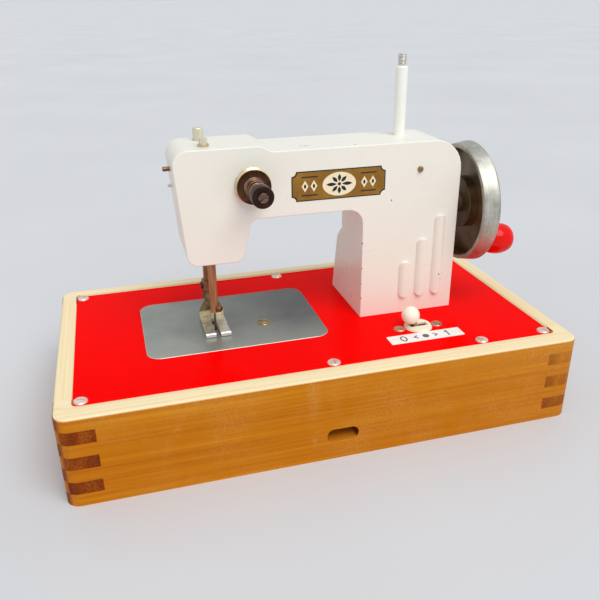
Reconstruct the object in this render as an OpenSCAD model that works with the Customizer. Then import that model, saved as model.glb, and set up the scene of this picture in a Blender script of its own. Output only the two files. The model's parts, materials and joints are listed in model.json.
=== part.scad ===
// Toy sewing machine on a wooden base box, with a hand wheel and a small electric drive.
// Millimetres. +X runs from the needle to the hand wheel, +Y to the rear, +Z up.
// The origin is the middle of the base's underside.

/* [Base box] */
// Length of the wooden base, left to right
base_l = 280; // [276:1:300]
// Depth of the wooden base, front to back
base_w = 153; // [150:1:165]
// Height of the wooden base
base_h = 50; // [48:0.5:60]
// Thickness of the base boards
board_t = 18.6; // [16:0.1:20]
// Radius of the upright corners of the base
corner_r = 7; // [3:0.5:10]
// Divisions of the finger joints up a corner, an odd number
finger_count = 7; // [5:2:9]
// Thickness of the bottom panel
panel_t = 4; // [3:0.5:5]
// Width of the ledge that the bottom panel lies in
panel_lap = 8; // [6:0.5:10]

/* [Top plate] */
// Wood left showing at the left and right of the top plate
border_side = 8.7; // [7:0.1:10]
// Wood left showing in front of the top plate
border_front = 10.5; // [8:0.1:12]
// Wood left showing behind the top plate
border_back = 7.5; // [6:0.1:10]
// Depth of the top plate below the edge of the wood
plate_recess = 1.2; // [0.5:0.1:2]
// Thickness of the sheet of the top plate
plate_t = 1; // [0.8:0.1:1.5]
// Corner radius of the top plate
plate_r = 3; // [2:0.5:5]

/* [Lead slot] */
// Width of the slot in the front board
slot_w = 17.5; // [12:0.5:24]
// Height of the slot in the front board
slot_h = 7.4; // [5:0.1:9]
// Height of the middle of the slot above the underside
slot_z = 14.7; // [12:0.1:20]
// Sideways place of the middle of the slot
slot_x = 1; // [-10:0.5:10]

/* [Needle plate] */
// Length of the needle plate
needle_plate_l = 103; // [98:1:110]
// Depth of the needle plate
needle_plate_w = 71.5; // [68:0.5:75]
// Thickness of the needle plate
needle_plate_t = 1.2; // [1:0.1:1.6]
// Corner radius of the needle plate
needle_plate_r = 8; // [4:0.5:12]
// Distance from the needle to the left edge of the needle plate
needle_plate_left = 41; // [38:0.5:44]
// Distance from the needle to the front edge of the needle plate
needle_plate_front = 27; // [25:0.5:29]

/* [Body] */
// Distance from the middle of the base to the front of the body
body_front = 12.5; // [11:0.5:14]
// Depth of the body, front to back
body_d = 35.5; // [34.5:0.5:38]
// Wall of the pressed body shell
wall = 1.6; // [1.2:0.1:2]
// Left side of the pillar, from the middle of the base
pillar_x = 33.5; // [32:0.5:36]
// Width of the pillar
pillar_w = 59; // [58:0.5:62]
// Height of the arm's underside above the top plate
throat_h = 67.2; // [66:0.2:70]
// Length of the throat between head and pillar
throat_l = 64.1; // [63:0.1:67]
// Height of the arm from its underside to its top
arm_h = 35.5; // [34:0.5:38]
// Rise of the head's top above the arm's top
head_rise = 3.2; // [2:0.1:5]
// Width of the head along its top
head_w = 40.1; // [39:0.1:42]
// Height of the head's lower end above the top plate
head_clear = 43.6; // [42:0.2:46]
// How far the head's left side leans in towards its lower end
head_left_taper = 4.9; // [4:0.1:7]
// How far the head's right side leans in towards its lower end
head_right_taper = 4.8; // [3:0.1:5.5]
// Backward reach of the pillar's foot behind the body
bulge_base = 17; // [15:0.5:20]
// Backward reach of the motor bulge at its upper end
bulge_top = 8.5; // [8:0.5:10]
// Height of the motor bulge above the top plate
bulge_h = 37.5; // [36:0.5:40]
// Thickness of the sheet of the rear cover
cover_t = 1.2; // [0.8:0.1:1.5]
// Width of a pressed rib on the pillar
rib_w = 7.2; // [5:0.1:8]
// Height that a rib stands out of the pillar's front
rib_d = 2; // [0.8:0.1:2.5]
// Distance between neighbouring ribs
rib_pitch = 10.5; // [9:0.1:12]
// Length of the shortest rib
rib_l = 23; // [18:0.5:26]
// How much each rib is longer than its left neighbour
rib_step = 13.4; // [8:0.1:14]

/* [Hand wheel] */
// Height of the main shaft above the top plate
shaft_h = 60.7; // [60:0.1:62]
// Radius of the main shaft
shaft_r = 3; // [2.5:0.1:3.5]
// Outer radius of the hand wheel's rim
wheel_r = 36.2; // [34:0.2:40]
// Width of the hand wheel's rim
wheel_w = 10.5; // [9:0.1:12]
// Thickness of the hand wheel's rim and web
wheel_t = 2.6; // [2:0.1:3]
// Gap between the pillar and the hand wheel's rim
wheel_gap = 7.6; // [6:0.1:9]
// Distance from the wheel's centre to the handle
handle_r = 26.6; // [24:0.2:28]
// Turn of the handle from the rear, at rest
handle_turn = 228; // [0:1:360]
// Largest radius of the handle's knob
knob_r = 9.3; // [8:0.1:9.5]
// Length of the handle's knob
knob_l = 18.5; // [16:0.5:20]

/* [Needle and presser] */
// Distance from the head's upper left corner to the needle
needle_inset = 18.4; // [17.5:0.1:19]
// Distance from the body's front to the needle bar
needle_d = 10; // [9:0.1:10.5]
// Radius of the needle bar
needle_bar_r = 2.3; // [2:0.1:2.5]
// Height of the needle bar's lower end above the top plate, at its lowest
needle_bar_low = 11.2; // [10:0.2:13]
// Height of the needle bar's upper end above the head, at its lowest
needle_bar_top = 4.2; // [3:0.2:6]
// Stroke of the needle bar
needle_stroke = 18; // [14:0.5:18]
// Radius of the needle
needle_r = 0.55; // [0.5:0.05:0.8]
// Reach of the needle below its bar
needle_reach = 21; // [18:0.5:22]
// Distance from the presser bar to the body's back
presser_back = 7; // [6.8:0.1:7.5]
// Radius of the presser bar
presser_bar_r = 2.8; // [2.4:0.1:2.9]
// Height of the presser bar's upper end above the head
presser_bar_top = 6.6; // [5:0.2:9]
// Lift of the presser foot
presser_lift = 6; // [4:0.5:6]
// Width of the presser foot
foot_w = 14.3; // [12:0.1:16]
// Reach of the foot's toes in front of the needle
foot_front = 11.5; // [9:0.5:13]
// Thickness of the foot's sheet
foot_t = 1.2; // [0.8:0.1:1.5]
// Width of the gap between the toes
foot_gap = 2.8; // [2.4:0.1:4]

/* [Thread parts] */
// Radius of the spool pin
spool_r = 3.35; // [2.5:0.05:4]
// Height of the spool pin above the arm
spool_h = 38; // [30:1:45]
// Radius of the threaded rod in the spool pin
spool_rod_r = 2.35; // [1.5:0.05:2.4]
// Height of the threaded tip above the spool pin
spool_tip_h = 6.4; // [4:0.2:9]
// Distance from the pillar's left side to the spool pin
spool_inset = 29; // [24:0.5:34]
// Distance from the body's front to the spool pin
spool_d = 22; // [14:0.5:24]
// Sideways place of the thread tension, right of the head's right side
tension_inset = 1.5; // [1:0.1:4]
// Height of the thread tension above the arm's underside
tension_h = 18.5; // [17:0.1:20]
// Radius of the tension discs
disc_r = 9.7; // [8:0.1:10]
// Radius of the tension knob
tension_knob_r = 5.75; // [5:0.05:6.5]
// Length of the tension knob
tension_knob_l = 7.5; // [6:0.1:9]
// Radius of the tension spring, at the middle of its wire
spring_r = 4; // [3.6:0.1:4.6]
// Radius of the tension spring's wire
spring_wire_r = 0.6; // [0.4:0.05:0.7]
// Curls of the tension spring
spring_curls = 4; // [3:1:5]
// Length of the tension spring
spring_l = 13; // [11:0.1:15]

/* [Switch] */
// Distance from the pillar's left side to the switch
switch_inset = 27.8; // [24:0.2:30]
// Distance from the body's front to the switch
switch_front = 21.7; // [20:0.1:24]
// Radius of the switch's rosette
rosette_r = 8.2; // [7.5:0.1:9]
// Thickness of the switch's rosette
rosette_t = 1.5; // [1:0.1:2]
// Distance between the switch's two rivets
rivet_pitch = 23.4; // [21:0.1:24]
// Radius of the ball on the switch lever
ball_r = 5.25; // [4:0.05:5.5]
// Length of the switch lever from its pivot to the ball's centre
switch_lever_l = 12.2; // [12:0.1:14]
// Lean of the switch lever to either side
switch_lean = 25; // [15:1:25]

/* [Hidden] */
$fn = 64;
arc_steps = 8;
loop_steps = 28;

// Clearances and overruns
running_gap = 0.05;
seat_gap = 0.02;
panel_gap = 0.2;
free_gap = 0.3;
over = 1;

// Levels
plate_z = base_h - plate_recess - plate_t;
z0 = base_h - plate_recess;
arm_z = z0 + throat_h;
arm_top = arm_z + arm_h;
head_top = arm_top + head_rise;
head_z = z0 + head_clear;
shaft_z = z0 + shaft_h;

// Places along X and Y
base_x = base_l / 2;
base_y = base_w / 2;
front_y = -body_front;
back_y = front_y + body_d;
pillar_right = pillar_x + pillar_w;
head_right = pillar_x - throat_l;
head_left = head_right - head_w;
needle_x = head_left + needle_inset;
needle_y = front_y + needle_d;
presser_y = back_y - presser_back;
shaft_y = front_y + body_d / 2;

// Screws
screw_head_r = 3.6;
screw_head_h = 1.3;
screw_r = 1.4;
screw_l = 9;
driver_slot_w = 0.8;
driver_slot_d = 0.7;

// Places of the top plate's screws, from the plate's front and back edges
plate_front = -base_y + border_front;
plate_back = base_y - border_back;
plate_side = base_x - border_side;
screw_front_in = 5.8;
screw_back_in = 4.2;
screw_side_in = 4;
screw_middle_x = 1;
screw_right_x = 88;
top_screw_places = [
    [screw_side_in - plate_side, plate_front + screw_front_in],
    [screw_middle_x, plate_front + screw_front_in],
    [screw_right_x, plate_front + screw_front_in],
    [plate_side - screw_side_in, plate_front + screw_front_in],
    [screw_side_in - plate_side, plate_back - screw_back_in],
    [screw_middle_x, plate_back - screw_back_in],
    [plate_side - screw_side_in, plate_back - screw_back_in]];

// Bottom panel and its screws, which stay above the underside
panel_x = base_x - board_t + panel_lap;
panel_y = base_y - board_t + panel_lap;
panel_screw_in = 4;
panel_screw_head_h = 1;
panel_screw_places = [
    for (x = [panel_screw_in - panel_x, 0, panel_x - panel_screw_in])
        for (y = [panel_screw_in - panel_y, panel_y - panel_screw_in]) [x, y]];

// Needle plate, its seat and its screw
needle_plate_x = needle_x - needle_plate_left;
needle_plate_y = needle_y - needle_plate_front;
seat_lap = 4;
seat_t = 1;
needle_slot_w = 2.4;
needle_slot_l = 12.4;
needle_slot_front = 1.8;
plate_screw_in = 28.4;
plate_screw_x = needle_x + plate_screw_in;
plate_screw_head_r = 4.2;
plate_screw_head_h = 0.8;
plate_screw_r = 2;

// Feed dog: two toothed rows either side of the needle
feed_row_x = 4;
feed_row_w = 2;
feed_row_l = 14;
feed_travel = 3;
feed_drop = 0.2;
feed_t = 2;
feed_w = 12;
feed_slot_r = 2;
feed_tail_w = 6;
feed_tail_l = 37;
tooth_count = 7;

// Lower shaft with looper and feed eccentric
lower_h = 18.8;
lower_z = z0 - lower_h;
lower_shaft_r = 2.5;
looper_t = 2.5;
looper_side_gap = 0.7;
looper_r = 11;
looper_hub_r = 5;
eccentric_r = 4.5;
eccentric_throw = 1.5;
eccentric_t = 3;
eccentric_in = 6.3;
eccentric_x = needle_x + eccentric_in;
hanger_t = 4;
hanger_w = 14;
hanger_flange_t = 2;
hanger_flange_w = 10;

// Main shaft train: crank, belt pulleys, bracket and bushes from left to right
bush_wall = 2.5;
bush_l = 5;
pulley_w = 6;
pulley_flange = 1.8;
groove_w = 3.8;
belt_w = 3;
belt_t = 1.2;
shaft_pulley_r = 6;
pulley_room = 3.35;
drive_pulley_r = body_d / 2 - wall - pulley_flange - pulley_room;
motor_pulley_r = 3;
shaft_pulley_in = 21.5;
shaft_pulley_x = pillar_x + shaft_pulley_in;
bracket_in = 30.5;
bracket_x = pillar_x + bracket_in;
bracket_t = 2;
drive_pulley_in = 13.5;
drive_pulley_x = pillar_right - drive_pulley_in;
crank_r = 9;
crank_t = 3;
crank_pin_r = 1.5;
right_bush_l = 7;
right_bush_in = 3.5;

// Rocking lever in the arm
lever_pivot_in = 23.5;
lever_pivot_h = 14;
lever_pivot_x = pillar_x - lever_pivot_in;
lever_pivot_z = arm_z + lever_pivot_h;
lever_t = 2;
carrier_r = 4;
carrier_h = 7;
lever_y = needle_y + carrier_r + free_gap;
lever_half_h = 3;
lever_hub_r = 4;
lever_pin_r = 2;
lever_hub_l = 7.4;
lever_slot_l = 1.2;
carrier_pin_r = 1.5;
lever_arm = lever_pivot_x - needle_x;
lever_swing = needle_stroke / lever_arm * 180 / PI;
lever_lean = lever_swing / 2;
yoke_x = 33;
yoke_t = 2;
yoke_w = 18;
yoke_h = 10;
yoke_drop = lever_pivot_z - shaft_z;
crank_throw = needle_stroke / 2 * yoke_x / lever_arm;
crank_pin_end = lever_pivot_x + (yoke_x + yoke_t) * cos(lever_lean)
    + (yoke_drop + yoke_h / 2) * sin(lever_lean) + free_gap;
crank_pin_l = 2;
crank_x = crank_pin_end + crank_pin_l;
bracket_cheek_t = 1.6;
bracket_cheek_w = 12;

// Hand wheel
wheel_x = pillar_right + wheel_gap;
wheel_out = wheel_x + wheel_w;
wheel_flare = 1.4;
hub_r = 6;
hub_reach = 2;
boss_r = 15.5;
boss_in = 1.8;
nut_r = 6;
nut_h = 4;
handle_pin_r = 2;
handle_head_r = 3.6;
handle_head_h = 1.5;
handle_y = shaft_y + handle_r * cos(handle_turn);
handle_z = shaft_z + handle_r * sin(handle_turn);

// Presser bar, collar, spring and lifter
presser_bar_low = 13;
collar_r = 4.4;
collar_h = 6;
collar_rise = 6;
collar_z = arm_z + collar_rise;
bar_bush_wall = 0.65;
bar_bush_l = 7;
bar_bush_proud = 1.3;
presser_spring_wire_r = 0.6;
presser_spring_curls = 9;
presser_spring_gap = 0.6;
lifter_pin_r = 2;
lifter_cam_r = 6;
// Lifter's turn from foot down to foot up
lifter_swing = 90;
// Cam's rising angle
cam_rise_angle = 100;
lifter_cam_t = 1.8;
lifter_cam_gap = 1.1;
lifter_z = collar_z - lifter_cam_r - lifter_cam_gap;
lifter_arm_l = 15;
lifter_arm_w = 6;
lifter_arm_t = 2;
lifter_grip_r = 3.4;
lifter_grip_l = 3;

// Presser foot
foot_z = z0 + needle_plate_t - plate_t + free_gap;
foot_shank_wall = 1.4;
foot_shank_h = 11.3;
foot_shank_low = 12.2;
foot_strip_h = 5.1;
foot_lip_h = 2.4;
foot_flare_w = 6;
foot_slot_back = 11;
foot_screw_h = 7.8;
foot_screw_r = 1.2;
foot_screw_head_r = 2.4;
foot_screw_head_h = 0.8;
clamp_screw_r = 1;
clamp_screw_head_r = 2.2;
clamp_screw_head_h = 2.4;
clamp_screw_h = 2.3;
clamp_screw_turn = 40;
needle_seat = 6;

// Motor and battery
motor_r = 10;
motor_l = 32;
motor_in = 10.5;
motor_back = 15.5;
motor_h = 19.2;
motor_x = pillar_x + motor_in;
motor_y = shaft_y + motor_back;
motor_z = z0 + motor_h;
motor_boss_r = 4;
motor_boss_l = 1.6;
motor_shaft_r = 1;
motor_shaft_seat = 8;
cradle_l = 20;
cell_r = 13;
cell_l = 50;
cell_cap_r = 3;
cell_cap_l = 1.5;
cell_gap = 0.3;
battery_in = 3;
wire_r = 0.9;

// Thread tension, counted from the body's front face
tension_x = head_right + tension_inset;
tension_z = arm_z + tension_h;
stud_r = 2.6;
stud_flange_r = 4;
stud_flange_t = 1.5;
cup_t = 2.2;
disc_t = 1.6;
washer_r = 5.4;
washer_t = 0.8;
stack_gap = 0.1;
cup_z = stack_gap;
disc_z = cup_z + cup_t + stack_gap;
washer_z = disc_z + disc_t + stack_gap;
spring_z = washer_z + washer_t + stack_gap;
tension_knob_z = spring_z + spring_l + stack_gap;
stud_l = tension_knob_z + tension_knob_l;

// Switch
switch_x = pillar_x + switch_inset;
switch_y = front_y - switch_front;
switch_pivot_drop = 4.5;
switch_pivot_z = z0 + rosette_t - switch_pivot_drop;
switch_stem_r = 1.6;
switch_hub_r = 2.6;
switch_hub_l = 6.4;
switch_pin_r = 1;
switch_body_size = [26, 12, 16];
switch_well = [18, 7];
switch_well_d = 13;
switch_slot_l = 10.4;
switch_slot_w = 4;
rivet_r = 1.2;
rivet_head_r = 3.4;
rivet_head_h = 0.8;

// Spool pin and thread guides
spool_x = pillar_x + spool_inset;
spool_y = front_y + spool_d;
spool_foot_h = 10;
guide_upper_r = 1.25;
guide_upper_l = 3.8;
guide_upper_drop = 9.4;
guide_upper_z = arm_top - guide_upper_drop;
guide_upper_d = 19.5;
guide_lower_r = 0.85;
guide_lower_l = 2.2;
guide_lower_drop = 19.4;
guide_lower_z = arm_top - guide_lower_drop;
guide_lower_d = 23.5;
guide_root = 1;

// Screws of the rear cover and of the pillar's foot
tab_w = 10;
tab_h = 12;
tab_t = 1.6;
cover_screw_drop = 7;
head_screw_in = 10.5;
arm_screw_in = 4;
pillar_screw_in = 20;
cover_screw_xs = [needle_x + head_screw_in, lever_pivot_x + arm_screw_in, pillar_right - pillar_screw_in];
body_screw_head_r = 2.6;
body_screw_head_h = 1.2;
body_screw_r = 1.2;
body_screw_l = 4;
low_tab_h = 52;
low_tab_z = z0 + low_tab_h;
foot_tab_d = 8;
foot_tab_left = 8;
foot_tab_right = 9;
foot_tab_xs = [pillar_x + foot_tab_left, pillar_right - foot_tab_right];
frame_screw_in = 33.5;
frame_screw_h = 20;
frame_screw_x = pillar_x + frame_screw_in;
frame_screw_z = arm_z + frame_screw_h;

// Plane geometry
function unit(v) = v / norm(v);
function left_of(v) = [-v[1], v[0]];
function turned(v, a) = [v[0] * cos(a) - v[1] * sin(a), v[0] * sin(a) + v[1] * cos(a)];
function before(list, i) = list[(i + len(list) - 1) % len(list)];
function after(list, i) = list[(i + 1) % len(list)];

// Points of a corner q between p and s, rounded to radius r
function corner_arc(p, q, s, r) = r <= 0 ? [q] :
    let (u = unit(p - q), v = unit(s - q), half = acos(u * v) / 2,
         c = q + unit(u + v) * r / sin(half), w = q + u * r / tan(half) - c,
         way = sign(cross(w, q + v * r / tan(half) - c)))
    [for (k = [0:arc_steps]) c + turned(w, way * (180 - 2 * half) * k / arc_steps)];

// A closed outline with each corner rounded to its own radius
function rounded(points, radii) = [for (i = [0:len(points) - 1])
    each corner_arc(before(points, i), points[i], after(points, i), radii[i])];

// The corners of a counterclockwise outline moved inwards by d, and the radii that go with them
function inset(points, d) = [for (i = [0:len(points) - 1])
    let (n = left_of(unit(points[i] - before(points, i))),
         m = left_of(unit(after(points, i) - points[i])))
    points[i] + (n + m) * d / (1 + n * m)];
function inset_radii(points, radii, d) = [for (i = [0:len(points) - 1])
    let (bend = cross(points[i] - before(points, i), after(points, i) - points[i]))
    radii[i] == 0 ? 0 : max(radii[i] - sign(bend) * d, 0)];

// A rectangle from its low corner and its size
function box_points(low, size) = [low, low + [size[0], 0], low + size, low + [0, size[1]]];

// The loop of a belt round two pulleys
function belt_loop(c, r, e, s) =
    let (d = e - c, heading = atan2(d[1], d[0]), lean = acos((r - s) / norm(d)))
    concat([for (k = [0:loop_steps]) c + turned([r, 0], heading + lean + (360
        - 2 * lean) * k / loop_steps)],
           [for (k = [0:loop_steps]) e + turned([s, 0], heading - lean + 2 * lean * k / loop_steps)]);

// A coil along +Z as one unbroken tube, with its ends running straight for one wire diameter
coil_rings = 8;
coil_sides = 6;
function coil_point(r, curls, l, k) = [
    r * cos(360 * k / coil_rings), r * sin(360 * k / coil_rings), l * k / (curls * coil_rings)];
function coil_path(r, wire_r, curls, l) =
    let (n = curls * coil_rings,
         run = [for (k = [0:n]) coil_point(r, curls, l - 2 * wire_r, k) + [0, 0, wire_r]])
    concat([run[0] - [0, 2 * wire_r, 0]], run, [run[n] + [0, 2 * wire_r, 0]]);
function tube_ring(path, i, wire_r) =
    let (last = len(path) - 1, d = path[min(i + 1, last)] - path[max(i - 1, 0)],
         side = cross(d, [0, 0, 1]), s = side / norm(side), up = cross(s, d) / norm(d))
    [for (k = [0:coil_sides - 1]) path[i]
        + wire_r * (s * cos(360 * k / coil_sides) + up * sin(360 * k / coil_sides))];
function tube_faces(n) = concat(
    [for (k = [1:coil_sides - 2]) [0, k, k + 1]],
    [for (k = [1:coil_sides - 2]) let (o = (n - 1) * coil_sides) [o, o + k + 1, o + k]],
    [for (i = [0:n - 2]) for (k = [0:coil_sides - 1])
        let (a = i * coil_sides + k, b = i * coil_sides + (k + 1) % coil_sides)
        each [[a, a + coil_sides, b], [b, a + coil_sides, b + coil_sides]]]);

// Least gap between neighbouring curls of a coil, measured on the points of its path
function coil_gap(path, wire_r) = min([for (i = [0:len(path) - 1])
    for (j = [i + coil_rings / 2:1:len(path) - 1]) norm(path[i] - path[j])]) - 2 * wire_r;

module coil(r, wire_r, curls, l) {
    path = coil_path(r, wire_r, curls, l);
    echo(least_gap = coil_gap(path, wire_r));
    polyhedron([for (i = [0:len(path) - 1]) each tube_ring(path, i, wire_r)], tube_faces(len(path)));
}

// Solids placed along an axis
module upright(x, y, z, r, h) translate([x, y, z]) cylinder(r = r, h = h);
module along_x(x, y, z, r, l) translate([x, y, z]) rotate([0, 90, 0]) cylinder(r = r, h = l);
module along_y(x, y, z, r, l) translate([x, y, z]) rotate([-90, 0, 0]) cylinder(r = r, h = l);
module slab(points, z, t) translate([0, 0, z]) linear_extrude(t) polygon(points);
module slab_xz(points, y, t) translate([0, y + t, 0]) rotate([90, 0, 0]) linear_extrude(t)
    polygon(points);
module slab_yz(points, x, t) translate([x, 0, 0]) rotate([90, 0, 90]) linear_extrude(t) polygon(points);
module turned_x(x, y, z, profile) translate([x, y, z]) rotate([0, 90, 0]) rotate_extrude()
    polygon(profile);
module on_front(x, z) translate([x, front_y, z]) rotate([90, 0, 0]) children();
module tube_x(x, y, z, r, bore, l) difference() {
    along_x(x, y, z, r, l);
    along_x(x - over, y, z, bore, l + 2 * over);
}
module tube_z(x, y, z, r, bore, h) difference() {
    upright(x, y, z, r, h);
    upright(x, y, z - over, bore, h + 2 * over);
}

// A slotted screw with its head on the face at z = 0 and its shank below
module screw(top_r, head_h, r, l) difference() {
    union() {
        cylinder(r1 = top_r, r2 = top_r * screw_top_share, h = head_h);
        translate([0, 0, -l]) cylinder(r = r, h = l + head_h / 2);
    }
    translate([-top_r, -driver_slot_w / 2, head_h - driver_slot_d]) cube([2 * top_r, driver_slot_w,
        head_h]);
}
screw_top_share = 0.7;

// Outline of the body's front, counterclockwise from the pillar's foot
step_out = 12.6;
step_in = 6.6;
shoulder_r = 17;
step_r = 5;
head_r = 8;
chin_r = 6;
throat_left_r = 5;
throat_right_r = 9;
body_points = [[pillar_x, z0], [pillar_right, z0], [pillar_right, arm_top],
    [head_right + step_out, arm_top], [head_right + step_in, head_top], [head_left, head_top],
    [head_left + head_left_taper, head_z], [head_right - head_right_taper, head_z],
    [head_right, arm_z], [pillar_x, arm_z]];
body_radii = [0, 0, shoulder_r, step_r, step_r, head_r, chin_r, chin_r, throat_left_r, throat_right_r];

module body_prism(d, y, l)
    slab_xz(rounded(inset(body_points, d), inset_radii(body_points, body_radii, d)), y, l);

// Side outline of the motor bulge, from the body's back at y, as the side walls show it
bulge_r = 7;
bulge_rise = 8;
function bulge_points(y, z) = [[y, z], [back_y + bulge_base, z], [back_y + bulge_top, z0 + bulge_h],
    [back_y, z0 + bulge_h + bulge_rise], [y, z0 + bulge_h + bulge_rise]];
bulge_step_r = 2.4;
bulge_radii = [0, 0, bulge_r, bulge_step_r, 0];

// Wooden base
module base_block() slab(rounded(box_points([-base_x, -base_y], [base_l, base_w]),
    [for (k = [1:4]) corner_r]), 0, base_h);
module plate_pocket() slab(rounded(box_points([-plate_side, plate_front],
    [2 * plate_side, plate_back - plate_front]), [for (k = [1:4]) plate_r]), plate_z, base_h);
module panel_pocket() translate([-panel_x, -panel_y, -over]) cube([2 * panel_x, 2 * panel_y, panel_t
    + over]);
module screw_holes() {
    for (p = top_screw_places) upright(p[0], p[1], plate_z - screw_l, screw_r + seat_gap, screw_l + over);
    for (p = panel_screw_places) upright(p[0], p[1], 0, screw_r + seat_gap, screw_l + panel_t);
}
finger_h = base_h / finger_count;
module finger_gaps(first, low, size) for (k = [first:2:finger_count - 1])
    let (under = k == 0 ? over : 0, above = k == finger_count - 1 ? over : 0)
    translate([low[0], low[1], k * finger_h - under]) cube([size[0], size[1], finger_h + under + above]);

module long_board(side) difference() {
    intersection() {
        base_block();
        translate([-base_x, side * (base_y - board_t / 2) - board_t / 2, 0]) cube([base_l, board_t,
            base_h]);
    }
    for (x = [-base_x - over, base_x - board_t])
        finger_gaps(1, [x, side * base_y - board_t - over], [board_t + over, 2 * (board_t + over)]);
    plate_pocket();
    panel_pocket();
    screw_holes();
}
module short_board(side) difference() {
    intersection() {
        base_block();
        translate([side * (base_x - board_t / 2) - board_t / 2, -base_y, 0]) cube([board_t, base_w,
            base_h]);
    }
    for (y = [-base_y - over, base_y - board_t])
        finger_gaps(0, [side * base_x - board_t - over, y], [2 * (board_t + over), board_t + over]);
    plate_pocket();
    panel_pocket();
    screw_holes();
}
module front_board() color("burlywood") difference() {
    long_board(-1);
    slab_xz(rounded(box_points([slot_x - slot_w / 2, slot_z - slot_h / 2], [slot_w, slot_h]),
        [for (k = [1:4]) slot_h * round_end_share]), -base_y - over, board_t + 2 * over);
}
round_end_share = 0.499;
module rear_board() color("burlywood") long_board(1);
module left_board() color("peru") short_board(-1);
module right_board() color("peru") short_board(1);

module bottom_panel() color("saddlebrown") difference() {
    translate([panel_gap - panel_x, panel_gap - panel_y, 0])
        cube([2 * (panel_x - panel_gap), 2 * (panel_y - panel_gap), panel_t]);
    for (p = panel_screw_places) {
        upright(p[0], p[1], -over, screw_r + seat_gap, panel_t + 2 * over);
        upright(p[0], p[1], -over, screw_head_r + seat_gap, panel_screw_head_h + over + seat_gap);
    }
}
module bottom_panel_screws() color("silver") for (p = panel_screw_places)
    translate([p[0], p[1], panel_screw_head_h]) mirror([0, 0, 1])
        screw(screw_head_r, panel_screw_head_h, screw_r, screw_l);

// Top plate with the pressed seat of the needle plate
function needle_plate_points(d) = rounded(box_points([needle_plate_x - d, needle_plate_y - d],
    [needle_plate_l + 2 * d, needle_plate_w + 2 * d]), [for (k = [1:4]) max(needle_plate_r + d, 0)]);
belt_hole = [14, 20];
lead_hole = [9, 12];
module top_plate() color("red") {
    difference() {
        slab(rounded(box_points([panel_gap - plate_side, plate_front + panel_gap],
            [2 * (plate_side - panel_gap), plate_back - plate_front - 2 * panel_gap]),
            [for (k = [1:4]) plate_r]), plate_z, plate_t);
        slab(needle_plate_points(panel_gap), plate_z - over, plate_t + 2 * over);
        translate([shaft_pulley_x + pulley_w / 2 - belt_hole[0] / 2, needle_y - shaft_pulley_r - belt_t
            - over, plate_z - over])
            cube([belt_hole[0], belt_hole[1], plate_t + 2 * over]);
        translate([pillar_x + wall + over, motor_y - lead_hole[1] / 2, plate_z - over])
            cube([lead_hole[0], lead_hole[1], plate_t + 2 * over]);
        translate([switch_x - switch_slot_l / 2, switch_y - switch_well[1] / 2, plate_z - over])
            cube([switch_slot_l, switch_well[1], plate_t + 2 * over]);
        for (p = top_screw_places) upright(p[0], p[1], plate_z - over, screw_r + seat_gap, plate_t
            + 2 * over);
        for (s = [-1, 1]) upright(switch_x + s * rivet_pitch / 2, switch_y, plate_z - over,
            rivet_r + seat_gap, plate_t + 2 * over);
        for (x = foot_tab_xs) upright(x, front_y + wall + foot_tab_d / 2, plate_z - over,
            body_screw_r + seat_gap, plate_t + 2 * over);
    }
    difference() {
        slab(needle_plate_points(seat_lap), plate_z - seat_t, seat_t);
        slab(needle_plate_points(-seat_lap), plate_z - seat_t - over, seat_t + 2 * over);
    }
}
module top_plate_screws() color("gainsboro") for (p = top_screw_places)
    translate([p[0], p[1], z0]) screw(screw_head_r, screw_head_h, screw_r, screw_l - plate_t);

module needle_plate() color("darkgray") difference() {
    slab(needle_plate_points(0), plate_z, needle_plate_t);
    translate([needle_x - needle_slot_w / 2, needle_y - needle_slot_front, plate_z - over])
        cube([needle_slot_w, needle_slot_l, needle_plate_t + 2 * over]);
    for (s = [-1, 1]) translate([needle_x + s * feed_row_x - feed_row_w / 2 - free_gap,
        needle_y - feed_row_l / 2 - free_gap, plate_z - over])
        cube([feed_row_w + 2 * free_gap, feed_row_l + feed_travel + 2 * free_gap, needle_plate_t
            + 2 * over]);
    upright(plate_screw_x, needle_y, plate_z - over, plate_screw_r + seat_gap, needle_plate_t + 2 * over);
}
module needle_plate_screw() color("tan") translate([plate_screw_x, needle_y, plate_z + needle_plate_t])
    screw(plate_screw_head_r, plate_screw_head_h, plate_screw_r, needle_plate_t + seat_t
        + hanger_flange_t);

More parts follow.
